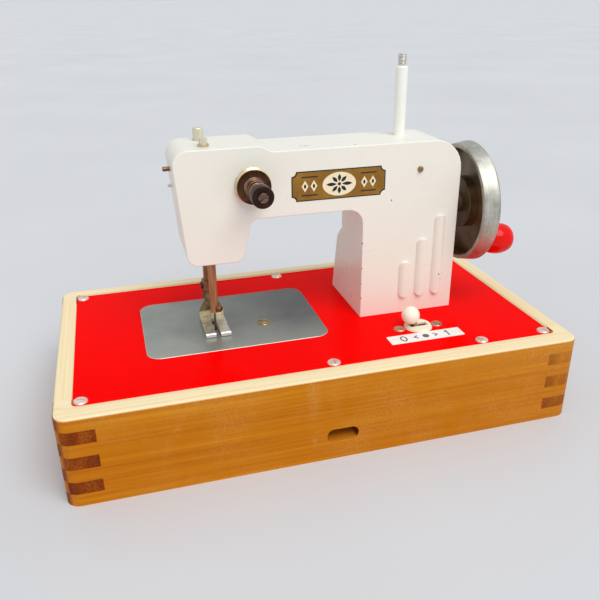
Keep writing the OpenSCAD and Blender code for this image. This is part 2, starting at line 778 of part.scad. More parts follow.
// Body shell: front wall with ribs, rim all round, bulged pillar sides and screw tabs
ribs_in = 27.2;
ribs_h = 9.9;
ribs_x = pillar_x + ribs_in;
ribs_z = z0 + ribs_h;
module rib(x, l) on_front(x, ribs_z + rib_w / 2) intersection() {
    union() {
        translate([-rib_w / 2, 0, -wall]) cube([rib_w, l - rib_w, rib_d + wall]);
        for (y = [0, l - rib_w]) translate([0, y, -wall]) cylinder(d = rib_w, h = rib_d + wall);
    }
    rotate([-90, 0, 0]) translate([0, rib_round_r - rib_d, -rib_w]) cylinder(r = rib_round_r, h = l
        + rib_w);
}
rib_round_r = 4.3;
module shell_tab(x, z, w, h) translate([x - w / 2, back_y - cover_t - tab_t, z]) cube([w, tab_t, h]);
module body_shell() color("ivory") difference() {
    union() {
        difference() {
            body_prism(0, front_y, body_d);
            body_prism(wall, front_y + wall, body_d);
            translate([pillar_x + wall, front_y + wall, z0 - over])
                cube([pillar_w - 2 * wall, body_d, wall + 2 * over]);
        }
        for (x = [pillar_x, pillar_right - wall])
            slab_yz(rounded(bulge_points(back_y - wall, z0), bulge_radii), x, wall);
        for (k = [0:2]) rib(ribs_x + k * rib_pitch, rib_l + k * rib_step);
        for (x = cover_screw_xs) shell_tab(x, tab_top(x) - tab_h, tab_w, tab_h);
        shell_tab(pillar_right - tab_w / 2 - wall / 2, low_tab_z, tab_w + wall / 2, tab_h);
        for (x = foot_tab_xs) translate([x - tab_w / 2, front_y + wall / 2, z0]) cube([tab_w,
            foot_tab_d, tab_t]);
    }
    for (x = foot_tab_xs)
        upright(x, front_y + wall + foot_tab_d / 2, z0 - over, body_screw_r + seat_gap, tab_t + 2 * over);
    for (p = cover_screw_places)
        along_y(p[0], back_y - cover_t - tab_t - over, p[1], body_screw_r + seat_gap, tab_t + 2 * over);
    on_front(tension_x, tension_z) translate([0, 0, -wall - over]) cylinder(r = stud_r + seat_gap,
        h = wall + 2 * over);
    along_y(frame_screw_x, front_y - over, frame_screw_z, body_screw_r + seat_gap, wall + 2 * over);
    along_x(pillar_right - wall - over, shaft_y, shaft_z, shaft_r + bush_wall + seat_gap, wall
        + 2 * over);
    upright(spool_x, spool_y, arm_top - wall - over, spool_rod_r + seat_gap, wall + 2 * over);
    upright(needle_x, needle_y, head_z - over, needle_bush_r + seat_gap, head_top - head_z + 2 * over);
    upright(needle_x, presser_y, head_z - over, presser_bush_r + seat_gap, head_top - head_z + 2 * over);
    along_x(head_left - over, front_y + guide_upper_d, guide_upper_z, guide_upper_r + seat_gap, over
        + head_left_taper);
    along_x(head_left - over, front_y + guide_lower_d, guide_lower_z, guide_lower_r + seat_gap, over
        + head_left_taper);
}
needle_bush_r = needle_bar_r + running_gap + bar_bush_wall;
presser_bush_r = presser_bar_r + running_gap + bar_bush_wall;
function tab_top(x) = (x < head_right ? head_top : arm_top) - wall / 2;
cover_screw_places = concat([for (x = cover_screw_xs) [x, tab_top(x) - cover_screw_drop]],
    [[pillar_right - tab_w / 2 - wall, low_tab_z + tab_h / 2]]);

// Rear cover: a flat plate inside the rim that steps back over the motor
cover_lift = 3;
cover_in = wall + panel_gap;
module rear_cover() color("ivory") difference() {
    union() {
        intersection() {
            body_prism(cover_in, back_y - cover_t, cover_t);
            translate([head_left, back_y - cover_t, z0 + bulge_h + bulge_rise - cover_t])
                cube([pillar_right - head_left, cover_t, head_top]);
        }
        difference() {
            slab_yz(rounded(bulge_points(back_y - cover_t, z0 + cover_lift), bulge_radii),
                pillar_x + cover_in, pillar_w - 2 * cover_in);
            translate([0, -cover_t, -cover_t])
                slab_yz(rounded(bulge_points(back_y - 2 * cover_t, z0 + cover_lift - over), bulge_radii),
                    pillar_x, pillar_w);
        }
    }
    for (p = cover_screw_places) along_y(p[0], back_y - cover_t - over, p[1], body_screw_r + seat_gap,
        cover_t + 2 * over);
    along_y(needle_x, back_y - cover_t - over, lifter_z, lifter_pin_r + running_gap, cover_t + 2 * over);
}
module body_screws() color("silver") {
    for (p = cover_screw_places) translate([p[0], back_y, p[1]]) rotate([-90, 0, 0])
        screw(body_screw_head_r, body_screw_head_h, body_screw_r, body_screw_l);
    for (x = foot_tab_xs) translate([x, front_y + wall + foot_tab_d / 2, plate_z]) mirror([0, 0, 1])
        screw(body_screw_head_r, body_screw_head_h, body_screw_r, body_screw_l);
}

// Spool pin on its threaded rod
spool_chamfer = 0.9;
module spool_pin() color("white") translate([spool_x, spool_y, arm_top]) rotate_extrude()
    polygon([[spool_rod_r + seat_gap, 0], [spool_r, 0], [spool_r, spool_h - spool_chamfer],
        [spool_r - spool_chamfer, spool_h], [spool_rod_r + seat_gap, spool_h]]);
rod_nut_r = 4;
rod_nut_h = 3;
rod_thread = 0.25;
rod_thread_count = 5;
module spool_rod() color("silver") difference() {
    union() {
        upright(spool_x, spool_y, arm_top - spool_foot_h, spool_rod_r, spool_foot_h + spool_h
            + spool_tip_h);
        upright(spool_x, spool_y, arm_top - wall - rod_nut_h, rod_nut_r, rod_nut_h);
    }
    for (k = [1:rod_thread_count])
        translate([0, 0, k * spool_tip_h / (rod_thread_count + 1)])
            tube_z(spool_x, spool_y, arm_top + spool_h, spool_r, spool_rod_r - rod_thread, rod_thread);
}
function head_side(z) = head_left + head_left_taper * (head_top - z) / (head_top - head_z);
module thread_guides() color("peru") {
    along_x(head_side(guide_upper_z) - guide_upper_l, front_y + guide_upper_d, guide_upper_z,
        guide_upper_r, guide_upper_l + wall + guide_root);
    along_x(head_side(guide_lower_z) - guide_lower_l, front_y + guide_lower_d, guide_lower_z,
        guide_lower_r, guide_lower_l + wall + guide_root);
}

// Thread tension: stud, cupped discs, spring and knob
module tension_stud() color("dimgray") on_front(tension_x, tension_z) difference() {
    union() {
        translate([0, 0, -wall - stud_flange_t]) cylinder(r = stud_r, h = stud_l + wall + stud_flange_t);
        translate([0, 0, -wall - stud_flange_t]) cylinder(r = stud_flange_r, h = stud_flange_t);
    }
    translate([-stud_r, -driver_slot_w / 2, stud_l - driver_slot_d]) cube([2 * stud_r, driver_slot_w,
        driver_slot_d + over]);
}
cup_rim = 1.2;
module dished(r, z, t, rim) translate([0, 0, z]) rotate_extrude() polygon([[stud_r + running_gap, 0],
    [r - rim, 0], [r, rim], [r, t], [r - rim / 2, t], [r - rim, t - rim / 2], [stud_r + running_gap,
        t - rim / 2]]);
module tension_discs() color("saddlebrown") on_front(tension_x, tension_z) {
    dished(disc_r, cup_z, cup_t, cup_rim);
    dished(disc_r - cup_rim / 2, disc_z, disc_t, disc_t / 2);
    difference() {
        translate([0, 0, washer_z]) cylinder(r = washer_r, h = washer_t);
        translate([0, 0, washer_z - over]) cylinder(r = stud_r + running_gap, h = washer_t + 2 * over);
    }
}
module tension_spring() color("chocolate") on_front(tension_x, tension_z) translate([0, 0, spring_z])
    coil(spring_r, spring_wire_r, spring_curls, spring_l);
knob_groove = 0.5;
knob_round = 1;
module tension_knob() color("maroon") on_front(tension_x, tension_z) translate([0, 0, tension_knob_z])
    rotate_extrude() polygon([[stud_r + running_gap, 0], [tension_knob_r - knob_round, 0],
        [tension_knob_r, knob_round],
        [tension_knob_r, tension_knob_l / 3], [tension_knob_r - knob_groove, tension_knob_l / 3
            + knob_groove],
        [tension_knob_r - knob_groove, tension_knob_l / 2], [tension_knob_r, tension_knob_l / 2
            + knob_groove],
        [tension_knob_r, tension_knob_l - knob_round], [tension_knob_r - knob_round, tension_knob_l],
        [stud_r + running_gap, tension_knob_l]]);

// Main shaft with its bracket, bushes, crank and pulleys
bracket_h = 24;
bracket_flange_w = 10;
module shaft_bracket() color("slategray") difference() {
    union() {
        translate([bracket_x, front_y + wall, shaft_z - bracket_h / 2])
            cube([bracket_t, shaft_y - front_y - wall + bracket_h / 2, bracket_h]);
        translate([bracket_x, front_y + wall, shaft_z - bracket_h / 2])
            cube([bracket_flange_w, bracket_t, frame_screw_z - shaft_z + bracket_h / 2
                + bracket_flange_w / 2]);
    }
    along_x(bracket_x - over, shaft_y, shaft_z, shaft_r + bush_wall + seat_gap, bracket_t + 2 * over);
    along_y(frame_screw_x, front_y, frame_screw_z, body_screw_r + seat_gap, wall + bracket_t + over);
}
frame_screw_head_r = 1.9;
module bracket_screw() color("sienna") on_front(frame_screw_x, frame_screw_z)
    screw(frame_screw_head_r, body_screw_head_h, body_screw_r, wall + bracket_t);
module bearing_bushes() color("goldenrod") {
    tube_x(bracket_x + bracket_t / 2 - bush_l / 2, shaft_y, shaft_z, shaft_r + bush_wall, shaft_r
        + running_gap, bush_l);
    tube_x(pillar_right - right_bush_in, shaft_y, shaft_z, shaft_r + bush_wall, shaft_r + running_gap,
        right_bush_l);
    tube_z(needle_x, needle_y, head_z, needle_bush_r, needle_bar_r + running_gap, bar_bush_l);
    tube_z(needle_x, presser_y, head_z, presser_bush_r, presser_bar_r + running_gap, bar_bush_l);
    tube_z(needle_x, needle_y, head_top + bar_bush_proud - bar_bush_l, needle_bush_r, needle_bar_r
        + running_gap, bar_bush_l);
    tube_z(needle_x, presser_y, head_top - bar_bush_l, presser_bush_r, presser_bar_r + running_gap,
        bar_bush_l);
}
module main_shaft() color("lightgray") along_x(crank_x, shaft_y, shaft_z, shaft_r, wheel_out + nut_h
    - crank_x);
module crank_disc() color("lightslategray") {
    tube_x(crank_x, shaft_y, shaft_z, crank_r, shaft_r + seat_gap, crank_t);
    along_x(crank_pin_end, shaft_y, shaft_z + crank_throw, crank_pin_r, crank_pin_l + crank_t / 2);
}
// A grooved pulley from its left face at x, with the belt running at radius r
module pulley(x, y, z, r, bore) difference() {
    along_x(x, y, z, r + pulley_flange, pulley_w);
    tube_x(x + (pulley_w - groove_w) / 2, y, z, r + 2 * pulley_flange, r, groove_w);
    along_x(x - over, y, z, bore, pulley_w + 2 * over);
}
module shaft_pulleys() color("black") {
    pulley(shaft_pulley_x, shaft_y, shaft_z, shaft_pulley_r, shaft_r + seat_gap);
    pulley(drive_pulley_x, shaft_y, shaft_z, drive_pulley_r, shaft_r + seat_gap);
}
module belt(x, c, r, e, s) translate([x + (pulley_w - belt_w) / 2, 0, 0]) rotate([90, 0, 90])
    linear_extrude(belt_w) difference() {
        polygon(belt_loop(c, r + free_gap + belt_t, e, s + free_gap + belt_t));
        polygon(belt_loop(c, r + free_gap, e, s + free_gap));
    }
module drive_belts() color("darkslategray") {
    belt(shaft_pulley_x, [shaft_y, shaft_z], shaft_pulley_r, [needle_y, lower_z], shaft_pulley_r);
    belt(drive_pulley_x, [shaft_y, shaft_z], drive_pulley_r, [motor_y, motor_z], motor_pulley_r);
}

// Hand wheel with its nut, handle pin and knob
module hand_wheel() color("lightgray") difference() {
    turned_x(wheel_x, shaft_y, shaft_z, [[shaft_r + seat_gap, -hub_reach], [hub_r, -hub_reach],
        [hub_r, boss_in], [boss_r, boss_in], [boss_r, wheel_w - wheel_t],
        [wheel_r - wheel_flare - wheel_t, wheel_w - wheel_t],
        [wheel_r - wheel_flare - wheel_t, 0], [wheel_r - wheel_flare, 0], [wheel_r, wheel_w
            - wheel_flare],
        [wheel_r - wheel_flare, wheel_w], [shaft_r + seat_gap, wheel_w]]);
    along_x(wheel_out - wheel_t - over, handle_y, handle_z, handle_pin_r + seat_gap, wheel_t + 2 * over);
}
module wheel_nut() color("darkgray") difference() {
    translate([wheel_out, shaft_y, shaft_z]) rotate([0, 90, 0]) cylinder(r = nut_r, h = nut_h, $fn = 6);
    along_x(wheel_out - over, shaft_y, shaft_z, shaft_r + seat_gap, nut_h + 2 * over);
}
module handle_pin() color("silver") {
    along_x(wheel_out - wheel_t, handle_y, handle_z, handle_pin_r, wheel_t + free_gap + knob_l);
    along_x(wheel_out + 2 * free_gap + knob_l - handle_head_h, handle_y, handle_z, handle_head_r,
        handle_head_h);
}
knob_shares = [[0.70, 0], [0.78, 0.08], [0.92, 0.25], [1, 0.45], [0.99, 0.6], [0.93, 0.76], [0.82, 0.88],
    [0.66, 0.96], [0.5, 1]];
module handle_knob() color("red") difference() {
    turned_x(wheel_out + free_gap, handle_y, handle_z, concat([[handle_pin_r + running_gap, 0]],
        [for (p = knob_shares) [p[0] * knob_r, p[1] * knob_l]], [[handle_pin_r + running_gap, knob_l]]));
    along_x(wheel_out + free_gap + knob_l - handle_head_h, handle_y, handle_z, handle_head_r
        + free_gap, handle_head_h + over);
}

// Rocking lever, hung from the arm's roof, with its left end on the needle bar
lever_mid_y = lever_y + lever_t / 2;
cheek_y = lever_hub_l / 2 + free_gap + bracket_cheek_t / 2;
lever_pin_l = 2 * cheek_y + 2 * bracket_cheek_t;
module lever_bracket() color("slategray") {
    for (s = [-1, 1])
        translate([lever_pivot_x - bracket_cheek_w / 2, lever_mid_y + s * cheek_y - bracket_cheek_t / 2,
            lever_pivot_z - bracket_cheek_w / 2])
            cube([bracket_cheek_w, bracket_cheek_t, arm_top - wall - lever_pivot_z
                + bracket_cheek_w / 2]);
    translate([lever_pivot_x - bracket_cheek_w / 2, lever_mid_y - cheek_y, arm_top - wall
        - bracket_cheek_t])
        cube([bracket_cheek_w, 2 * cheek_y, bracket_cheek_t]);
    along_y(lever_pivot_x, lever_mid_y - lever_pin_l / 2, lever_pivot_z, lever_pin_r, lever_pin_l);
}
drop_w = 2;
module rocking_lever() color("slategray") translate([lever_pivot_x, 0, lever_pivot_z]) rotate([0,
    -lever_lean, 0])
    difference() {
        union() {
            slab_xz([[-lever_arm - 2 * lever_half_h, -lever_half_h], [yoke_x - drop_w, -lever_half_h],
                [yoke_x - drop_w, -yoke_drop - yoke_h / 2], [yoke_x + yoke_t, -yoke_drop - yoke_h / 2],
                [yoke_x + yoke_t, lever_half_h], [-lever_arm - 2 * lever_half_h, lever_half_h]],
                    lever_y, lever_t);
            along_y(0, lever_mid_y - lever_hub_l / 2, 0, lever_hub_r, lever_hub_l);
            difference() {
                translate([yoke_x, shaft_y - yoke_w / 2, -yoke_drop - yoke_h / 2]) cube([yoke_t,
                    yoke_w, yoke_h]);
                translate([yoke_x - over, shaft_y - crank_throw - crank_pin_r - free_gap, -yoke_drop
                    - crank_pin_r - free_gap])
                    cube([yoke_t + 2 * over, 2 * (crank_throw + crank_pin_r + free_gap),
                        2 * (crank_pin_r + free_gap)]);
            }
        }
        along_y(0, lever_y - lever_hub_l, 0, lever_pin_r + running_gap, 3 * lever_hub_l);
        translate([-lever_arm - lever_slot_l - carrier_pin_r, lever_y - over, -carrier_pin_r - panel_gap])
            cube([2 * (lever_slot_l + carrier_pin_r), lever_t + 2 * over, 2 * (carrier_pin_r
                + panel_gap)]);
    }

// Needle bar with carrier, clamp screw and needle
needle_bar_z = z0 + needle_bar_low;
carrier_z = lever_pivot_z - needle_stroke / 2;
module needle_bar() color("rosybrown") difference() {
    upright(needle_x, needle_y, needle_bar_z, needle_bar_r, head_top + needle_bar_top - needle_bar_z);
    upright(needle_x, needle_y, needle_bar_z - over, needle_r + seat_gap, needle_seat + over);
    on_clamp() cylinder(r = clamp_screw_r + seat_gap, h = needle_bar_r + over);
}
module on_clamp() translate([needle_x, needle_y, needle_bar_z + clamp_screw_h])
    rotate([0, 90, -clamp_screw_turn]) children();
module needle_carrier() color("slategray") {
    tube_z(needle_x, needle_y, carrier_z - carrier_h / 2, carrier_r - running_gap, needle_bar_r
        + seat_gap, carrier_h);
    along_y(needle_x, needle_y + needle_bar_r + seat_gap + free_gap, carrier_z, carrier_pin_r,
        lever_y + lever_t + free_gap - needle_y - needle_bar_r);
}
module needle_clamp_screw() color("saddlebrown") on_clamp() translate([0, 0, needle_bar_r])
    screw(clamp_screw_head_r, clamp_screw_head_h, clamp_screw_r, needle_bar_r - needle_r - seat_gap);
needle_tip = 5;
module needle() color("lightgray") {
    upright(needle_x, needle_y, needle_bar_z - needle_reach + needle_tip, needle_r, needle_reach
        - needle_tip + needle_seat);
    translate([needle_x, needle_y, needle_bar_z - needle_reach]) cylinder(r1 = needle_r / needle_tip,
        r2 = needle_r, h = needle_tip);
}

// Presser bar with collar, spring, foot and lifter
module presser_bar() color("tan") {
    upright(needle_x, presser_y, z0 + presser_bar_low, presser_bar_r, head_top + presser_bar_top
        - bar_chamfer - z0 - presser_bar_low);
    translate([needle_x, presser_y, head_top + presser_bar_top - bar_chamfer])
        cylinder(r1 = presser_bar_r, r2 = presser_bar_r - bar_chamfer, h = bar_chamfer);
}
bar_chamfer = 0.5;
module presser_collar() color("silver") tube_z(needle_x, presser_y, collar_z, collar_r, presser_bar_r
    + seat_gap, collar_h);
module presser_spring() color("gray") translate([needle_x, presser_y, collar_z + collar_h + stack_gap])
    coil(presser_bar_r + presser_spring_gap + presser_spring_wire_r, presser_spring_wire_r,
        presser_spring_curls,
        head_top - bar_bush_l - collar_z - collar_h - 2 * stack_gap);
foot_y = needle_y - foot_front;
shank_r = presser_bar_r + seat_gap + foot_shank_wall;
strip_y = presser_y - shank_r;
sole_back = strip_y + foot_t;
module presser_foot() color("silver") difference() {
    union() {
        translate([needle_x - foot_w / 2, foot_y, foot_z]) cube([foot_w, sole_back - foot_y, foot_t]);
        translate([needle_x - foot_w / 2, foot_y, foot_z]) cube([foot_w, foot_t, foot_lip_h]);
        slab_xz([[needle_x - foot_w / 2, foot_z], [needle_x + foot_w / 2, foot_z],
            [needle_x + foot_w / 2, foot_z + foot_strip_h],
            [needle_x + foot_flare_w / 2, foot_z + foot_shank_low + foot_t],
            [needle_x - foot_flare_w / 2, foot_z + foot_shank_low + foot_t],
            [needle_x - foot_w / 2, foot_z + foot_strip_h]], strip_y, foot_t);
        upright(needle_x, presser_y, foot_z + foot_shank_low, shank_r, foot_shank_h);
    }
    upright(needle_x, presser_y, foot_z + foot_shank_low - over, presser_bar_r + seat_gap,
        foot_shank_h + 2 * over);
    translate([needle_x - foot_gap / 2, foot_y - over, foot_z - over])
        cube([foot_gap, foot_front + foot_slot_back + over, foot_lip_h + 2 * over]);
    along_x(needle_x - shank_r - over, presser_y, foot_z + foot_shank_low + foot_screw_h,
        foot_screw_r + seat_gap, shank_r + over);
}
module presser_foot_screw() color("dimgray") translate([needle_x - shank_r, presser_y, foot_z
    + foot_shank_low + foot_screw_h])
    rotate([0, -90, 0]) screw(foot_screw_head_r, foot_screw_head_h, foot_screw_r, foot_shank_wall);

// Spiral cam that lifts the collar, on a pin through the rear cover, with a hanging arm outside
cam_y = presser_y + presser_bar_r + free_gap;
cam_peak = presser_lift * cam_rise_angle / lifter_swing;
cam_points = [for (k = [0:loop_steps]) let (a = 360 * k / loop_steps)
    turned([0, lifter_cam_r + (a <= cam_rise_angle ? presser_lift * a / lifter_swing
        : cam_peak * (360 - a) / (360 - cam_rise_angle))], -a)];
module presser_lifter() color("silver") {
    translate([needle_x, 0, lifter_z]) slab_xz(cam_points, cam_y, lifter_cam_t);
    along_y(needle_x, cam_y, lifter_z, lifter_pin_r, back_y + free_gap + lifter_arm_t - cam_y);
    translate([needle_x - lifter_arm_w / 2, back_y + free_gap, lifter_z - lifter_arm_l])
        cube([lifter_arm_w, lifter_arm_t, lifter_arm_l + lifter_arm_w / 2]);
    along_y(needle_x, back_y + free_gap, lifter_z - lifter_arm_l, lifter_grip_r, lifter_arm_t
        + lifter_grip_l);
}

// Lower shaft on its hangers, with looper, feed eccentric, feed dog and guide
lower_shaft_left = needle_x + needle_r + looper_side_gap;
module lower_shaft() color("lightgray")
    along_x(lower_shaft_left, needle_y, lower_z, lower_shaft_r, right_hanger_x + hanger_t + over
        - lower_shaft_left);
module lower_pulley() color("black") pulley(shaft_pulley_x, needle_y, lower_z, shaft_pulley_r,
    lower_shaft_r + seat_gap);
right_hanger_x = shaft_pulley_x + pulley_w + 2 * over;
right_hanger_l = 20;
module hanger(x, top, flange_x, flange_y, flange_l) difference() {
    union() {
        translate([x, needle_y - hanger_w / 2, lower_z - hanger_w / 2]) cube([hanger_t, hanger_w, top
            - lower_z + hanger_w / 2]);
        translate([flange_x, flange_y, top - hanger_flange_t]) cube([hanger_flange_w, flange_l,
            hanger_flange_t]);
    }
    along_x(x - over, needle_y, lower_z, lower_shaft_r + running_gap, hanger_t + 2 * over);
}
module shaft_hangers() color("slategray") {
    difference() {
        union() {
            hanger(plate_screw_x + plate_screw_r + over, plate_z - seat_t, plate_screw_x
                - hanger_flange_w / 2,
                needle_plate_y, needle_plate_w);
            upright(plate_screw_x, needle_y, plate_z - seat_t - hanger_flange_t, hanger_flange_w / 2,
                seat_t + hanger_flange_t);
        }
        upright(plate_screw_x, needle_y, plate_z - seat_t - hanger_flange_t - over, plate_screw_r
            + seat_gap,
            seat_t + hanger_flange_t + 2 * over);
    }
    hanger(right_hanger_x, plate_z, right_hanger_x, needle_y - right_hanger_l / 2, right_hanger_l);
}
hook_shares = [[-0.1, 0.35], [0.2, 0.8], [0.75, 0.62], [1, 0.05], [0.86, -0.36], [0.68, -0.52],
    [0.72, 0.05], [0.42, 0.3], [0.3, 0.1]];
module looper() color("silver") difference() {
    union() {
        along_x(lower_shaft_left, needle_y, lower_z, looper_hub_r, looper_t);
        slab_yz([for (p = hook_shares) [needle_y, lower_z] + looper_r * p], lower_shaft_left, looper_t);
    }
    along_x(lower_shaft_left - over, needle_y, lower_z, lower_shaft_r + seat_gap, looper_t + 2 * over);
}
module feed_eccentric() color("goldenrod") difference() {
    along_x(eccentric_x, needle_y, lower_z + eccentric_throw, eccentric_r, eccentric_t);
    along_x(eccentric_x - over, needle_y, lower_z, lower_shaft_r + seat_gap, eccentric_t + 2 * over);
}
feed_z = plate_z - free_gap - feed_t;
feed_finger_y = needle_y + eccentric_r + eccentric_throw + free_gap;
feed_finger_low = lower_z - eccentric_r;
tooth_pitch = feed_row_l / tooth_count;
row_top = plate_z + needle_plate_t - feed_drop;
tooth_h = 0.6;
row_points = concat([[0, feed_z], [feed_row_l, feed_z], [feed_row_l, row_top - tooth_h]],
    [for (k = [tooth_count - 1:-1:0]) each [[(k + 0.5) * tooth_pitch, row_top], [k * tooth_pitch,
        row_top - tooth_h]]]);
module feed_dog() color("silver") {
    difference() {
        translate([needle_x - feed_w / 2, needle_y - feed_row_l / 2, feed_z])
            cube([eccentric_x + eccentric_t - needle_x + feed_w / 2, feed_row_l + feed_tail_w, feed_t]);
        translate([needle_x - feed_slot_r, needle_y - feed_slot_r - feed_travel, feed_z - over])
            cube([2 * feed_slot_r, 2 * feed_slot_r + feed_travel, feed_t + 2 * over]);
    }
    for (s = [-1, 1]) translate([0, needle_y - feed_row_l / 2, 0])
        slab_yz(row_points, needle_x + s * feed_row_x - feed_row_w / 2, feed_row_w);
    translate([needle_x - feed_tail_w / 2, needle_y, feed_z]) translate([0, feed_row_l / 2, 0])
        cube([feed_tail_w, feed_tail_l - feed_row_l / 2 - feed_travel - over, feed_t]);
    translate([eccentric_x, feed_finger_y, feed_finger_low]) cube([eccentric_t, feed_t, feed_z
        - feed_finger_low + feed_t]);
}
guide_in = 29;
guide_y = needle_y + guide_in;
guide_l = needle_plate_y + needle_plate_w - seat_lap - panel_gap - guide_y;
guide_t = 1.5;
guide_flange_l = 8;
module feed_guide() color("slategray") {
    difference() {
        translate([needle_x - feed_tail_w / 2 - panel_gap - guide_t, guide_y, feed_z - panel_gap
            - guide_t])
            cube([feed_tail_w + 2 * (panel_gap + guide_t), guide_l + guide_flange_l, plate_z - seat_t
                - feed_z + panel_gap + guide_t]);
        translate([needle_x - feed_tail_w / 2 - panel_gap, guide_y - over, feed_z - panel_gap])
            cube([feed_tail_w + 2 * panel_gap, guide_l + over, plate_z]);
    }
}

// Motor on its cradle, rotor with pulley, and battery
module motor() color("gray") difference() {
    union() {
        along_x(motor_x, motor_y, motor_z, motor_r, motor_l);
        along_x(motor_x + motor_l - over, motor_y, motor_z, motor_boss_r, motor_boss_l + over);
    }
    along_x(motor_x + motor_l - motor_shaft_seat, motor_y, motor_z, motor_shaft_r + running_gap,
        motor_shaft_seat + motor_boss_l + over);
}
module motor_cradle() color("slategray") difference() {
    translate([motor_x + (motor_l - cradle_l) / 2, motor_y - motor_r, z0]) cube([cradle_l, 2 * motor_r,
        motor_z - z0 - motor_r / 2]);
    along_x(motor_x, motor_y, motor_z, motor_r + seat_gap, motor_l);
}
module motor_rotor() color("black") {
    along_x(motor_x + motor_l - motor_shaft_seat + free_gap, motor_y, motor_z, motor_shaft_r,
        drive_pulley_x + pulley_w - motor_x - motor_l + motor_shaft_seat);
    pulley(drive_pulley_x, motor_y, motor_z, motor_pulley_r, motor_shaft_r);
}
battery_x = board_t + battery_in - base_x;
battery_y = base_y - board_t - battery_in - cell_r;
battery_z = panel_t + cell_r;
cell_pitch = cell_l + cell_cap_l + cell_gap;
battery_end = battery_x + cell_pitch + cell_l + cell_cap_l;
module battery() color("royalblue") for (k = [0, 1]) {
    along_x(battery_x + k * cell_pitch, battery_y, battery_z, cell_r, cell_l);
    along_x(battery_x + k * cell_pitch + cell_l / 2, battery_y, battery_z, cell_cap_r, cell_l / 2
        + cell_cap_l);
}

// Leads from the battery over the switch to the motor
wire_bend_share = 1.45;
bead_turn = 45;
wire_rise = 8;
wire_low = panel_t + wire_rise;
wire_clear = wire_r + panel_gap;
wire_front = switch_y - switch_body_size[1] / 2 - 2 * wire_clear;
wire_side = right_hanger_x + hanger_t + 2 * wire_clear;
wire_end_x = motor_x - wire_bend_share * wire_r - panel_gap;
switch_under = plate_z - switch_body_size[2] - wire_bend_share * wire_r - panel_gap;
battery_left = battery_x - wire_bend_share * wire_r - panel_gap;
battery_right = battery_end + wire_bend_share * wire_r + panel_gap;
lead_x = pillar_x + wall + over + lead_hole[0] / 2;
lead_step = motor_r / 3;
module wire(points) for (k = [0:len(points) - 1]) {
    translate(points[k]) rotate(bead_turn) sphere(r = wire_r * wire_bend_share);
    if (k > 0) {
        d = points[k] - points[k - 1];
        translate(points[k - 1]) rotate([0, acos(d[2] / norm(d)), atan2(d[1], d[0])])
            cylinder(r = wire_r, h = norm(d));
    }
}
module wiring() color("gold") {
    wire([[battery_left, battery_y, battery_z], [battery_left, wire_front, battery_z],
        [switch_x - rivet_pitch / 3, wire_front, switch_under], [switch_x - rivet_pitch / 3, switch_y,
            switch_under]]);
    wire([[switch_x + rivet_pitch / 3, switch_y, switch_under], [wire_side, switch_y, switch_under],
        [wire_side, switch_y, wire_low], [wire_side, motor_y + lead_step, wire_low],
        [lead_x + wire_clear, motor_y + lead_step, wire_low],
        [lead_x + wire_clear, motor_y + lead_step, motor_z - lead_step],
        [wire_end_x, motor_y + lead_step, motor_z - lead_step]]);
    wire([[battery_right, battery_y, battery_z], [lead_x - wire_clear, battery_y, battery_z],
        [lead_x - wire_clear, motor_y - lead_step, battery_z],
        [lead_x - wire_clear, motor_y - lead_step, motor_z + lead_step],
        [wire_end_x, motor_y - lead_step, motor_z + lead_step]]);
}

// Switch with rosette, rivets, ball lever and the body under the plate
module switch_rosette() color("white") difference() {
    translate([switch_x, switch_y, z0]) cylinder(r1 = rosette_r, r2 = rosette_r - rosette_t / 2,
        h = rosette_t);
    translate([switch_x - switch_slot_l / 2, switch_y - switch_slot_w / 2, z0 - over])
        cube([switch_slot_l, switch_slot_w, rosette_t + 2 * over]);
}
module switch_rivets() color("goldenrod") for (s = [-1, 1]) translate([switch_x + s * rivet_pitch / 2,
    switch_y, z0]) {
    cylinder(r1 = rivet_head_r, r2 = rivet_head_r / 2, h = rivet_head_h);
    translate([0, 0, -plate_t - rivet_seat]) cylinder(r = rivet_r, h = plate_t + rivet_seat
        + rivet_head_h / 2);
}
rivet_seat = 3;
module on_switch() translate([switch_x, switch_y, switch_pivot_z]) rotate([0, -switch_lean,
    0]) children();
module switch_lever() color("gainsboro") on_switch() difference() {
    union() {
        cylinder(r = switch_stem_r, h = switch_lever_l);
        along_y(0, -switch_hub_l / 2, 0, switch_hub_r, switch_hub_l);
    }
    along_y(0, -switch_hub_l, 0, switch_pin_r + running_gap, 2 * switch_hub_l);
}
module switch_ball() color("cornsilk") on_switch() difference() {
    translate([0, 0, switch_lever_l]) sphere(r = ball_r);
    translate([0, 0, switch_lever_l - ball_r - over]) cylinder(r = switch_stem_r + seat_gap,
        h = ball_r + over + seat_gap);
}
module switch_body() color("dimgray") {
    difference() {
        translate([switch_x - switch_body_size[0] / 2, switch_y - switch_body_size[1] / 2, plate_z
            - switch_body_size[2]])
            cube(switch_body_size);
        translate([switch_x - switch_well[0] / 2, switch_y - switch_well[1] / 2, plate_z - switch_well_d])
            cube([switch_well[0], switch_well[1], switch_well_d + over]);
        for (s = [-1, 1]) upright(switch_x + s * rivet_pitch / 2, switch_y, plate_z - rivet_seat
            - seat_gap,
            rivet_r + seat_gap, rivet_seat + over);
    }
    along_y(switch_x, switch_y - switch_well[1] / 2 - over, switch_pivot_z, switch_pin_r,
        switch_well[1] + 2 * over);
}

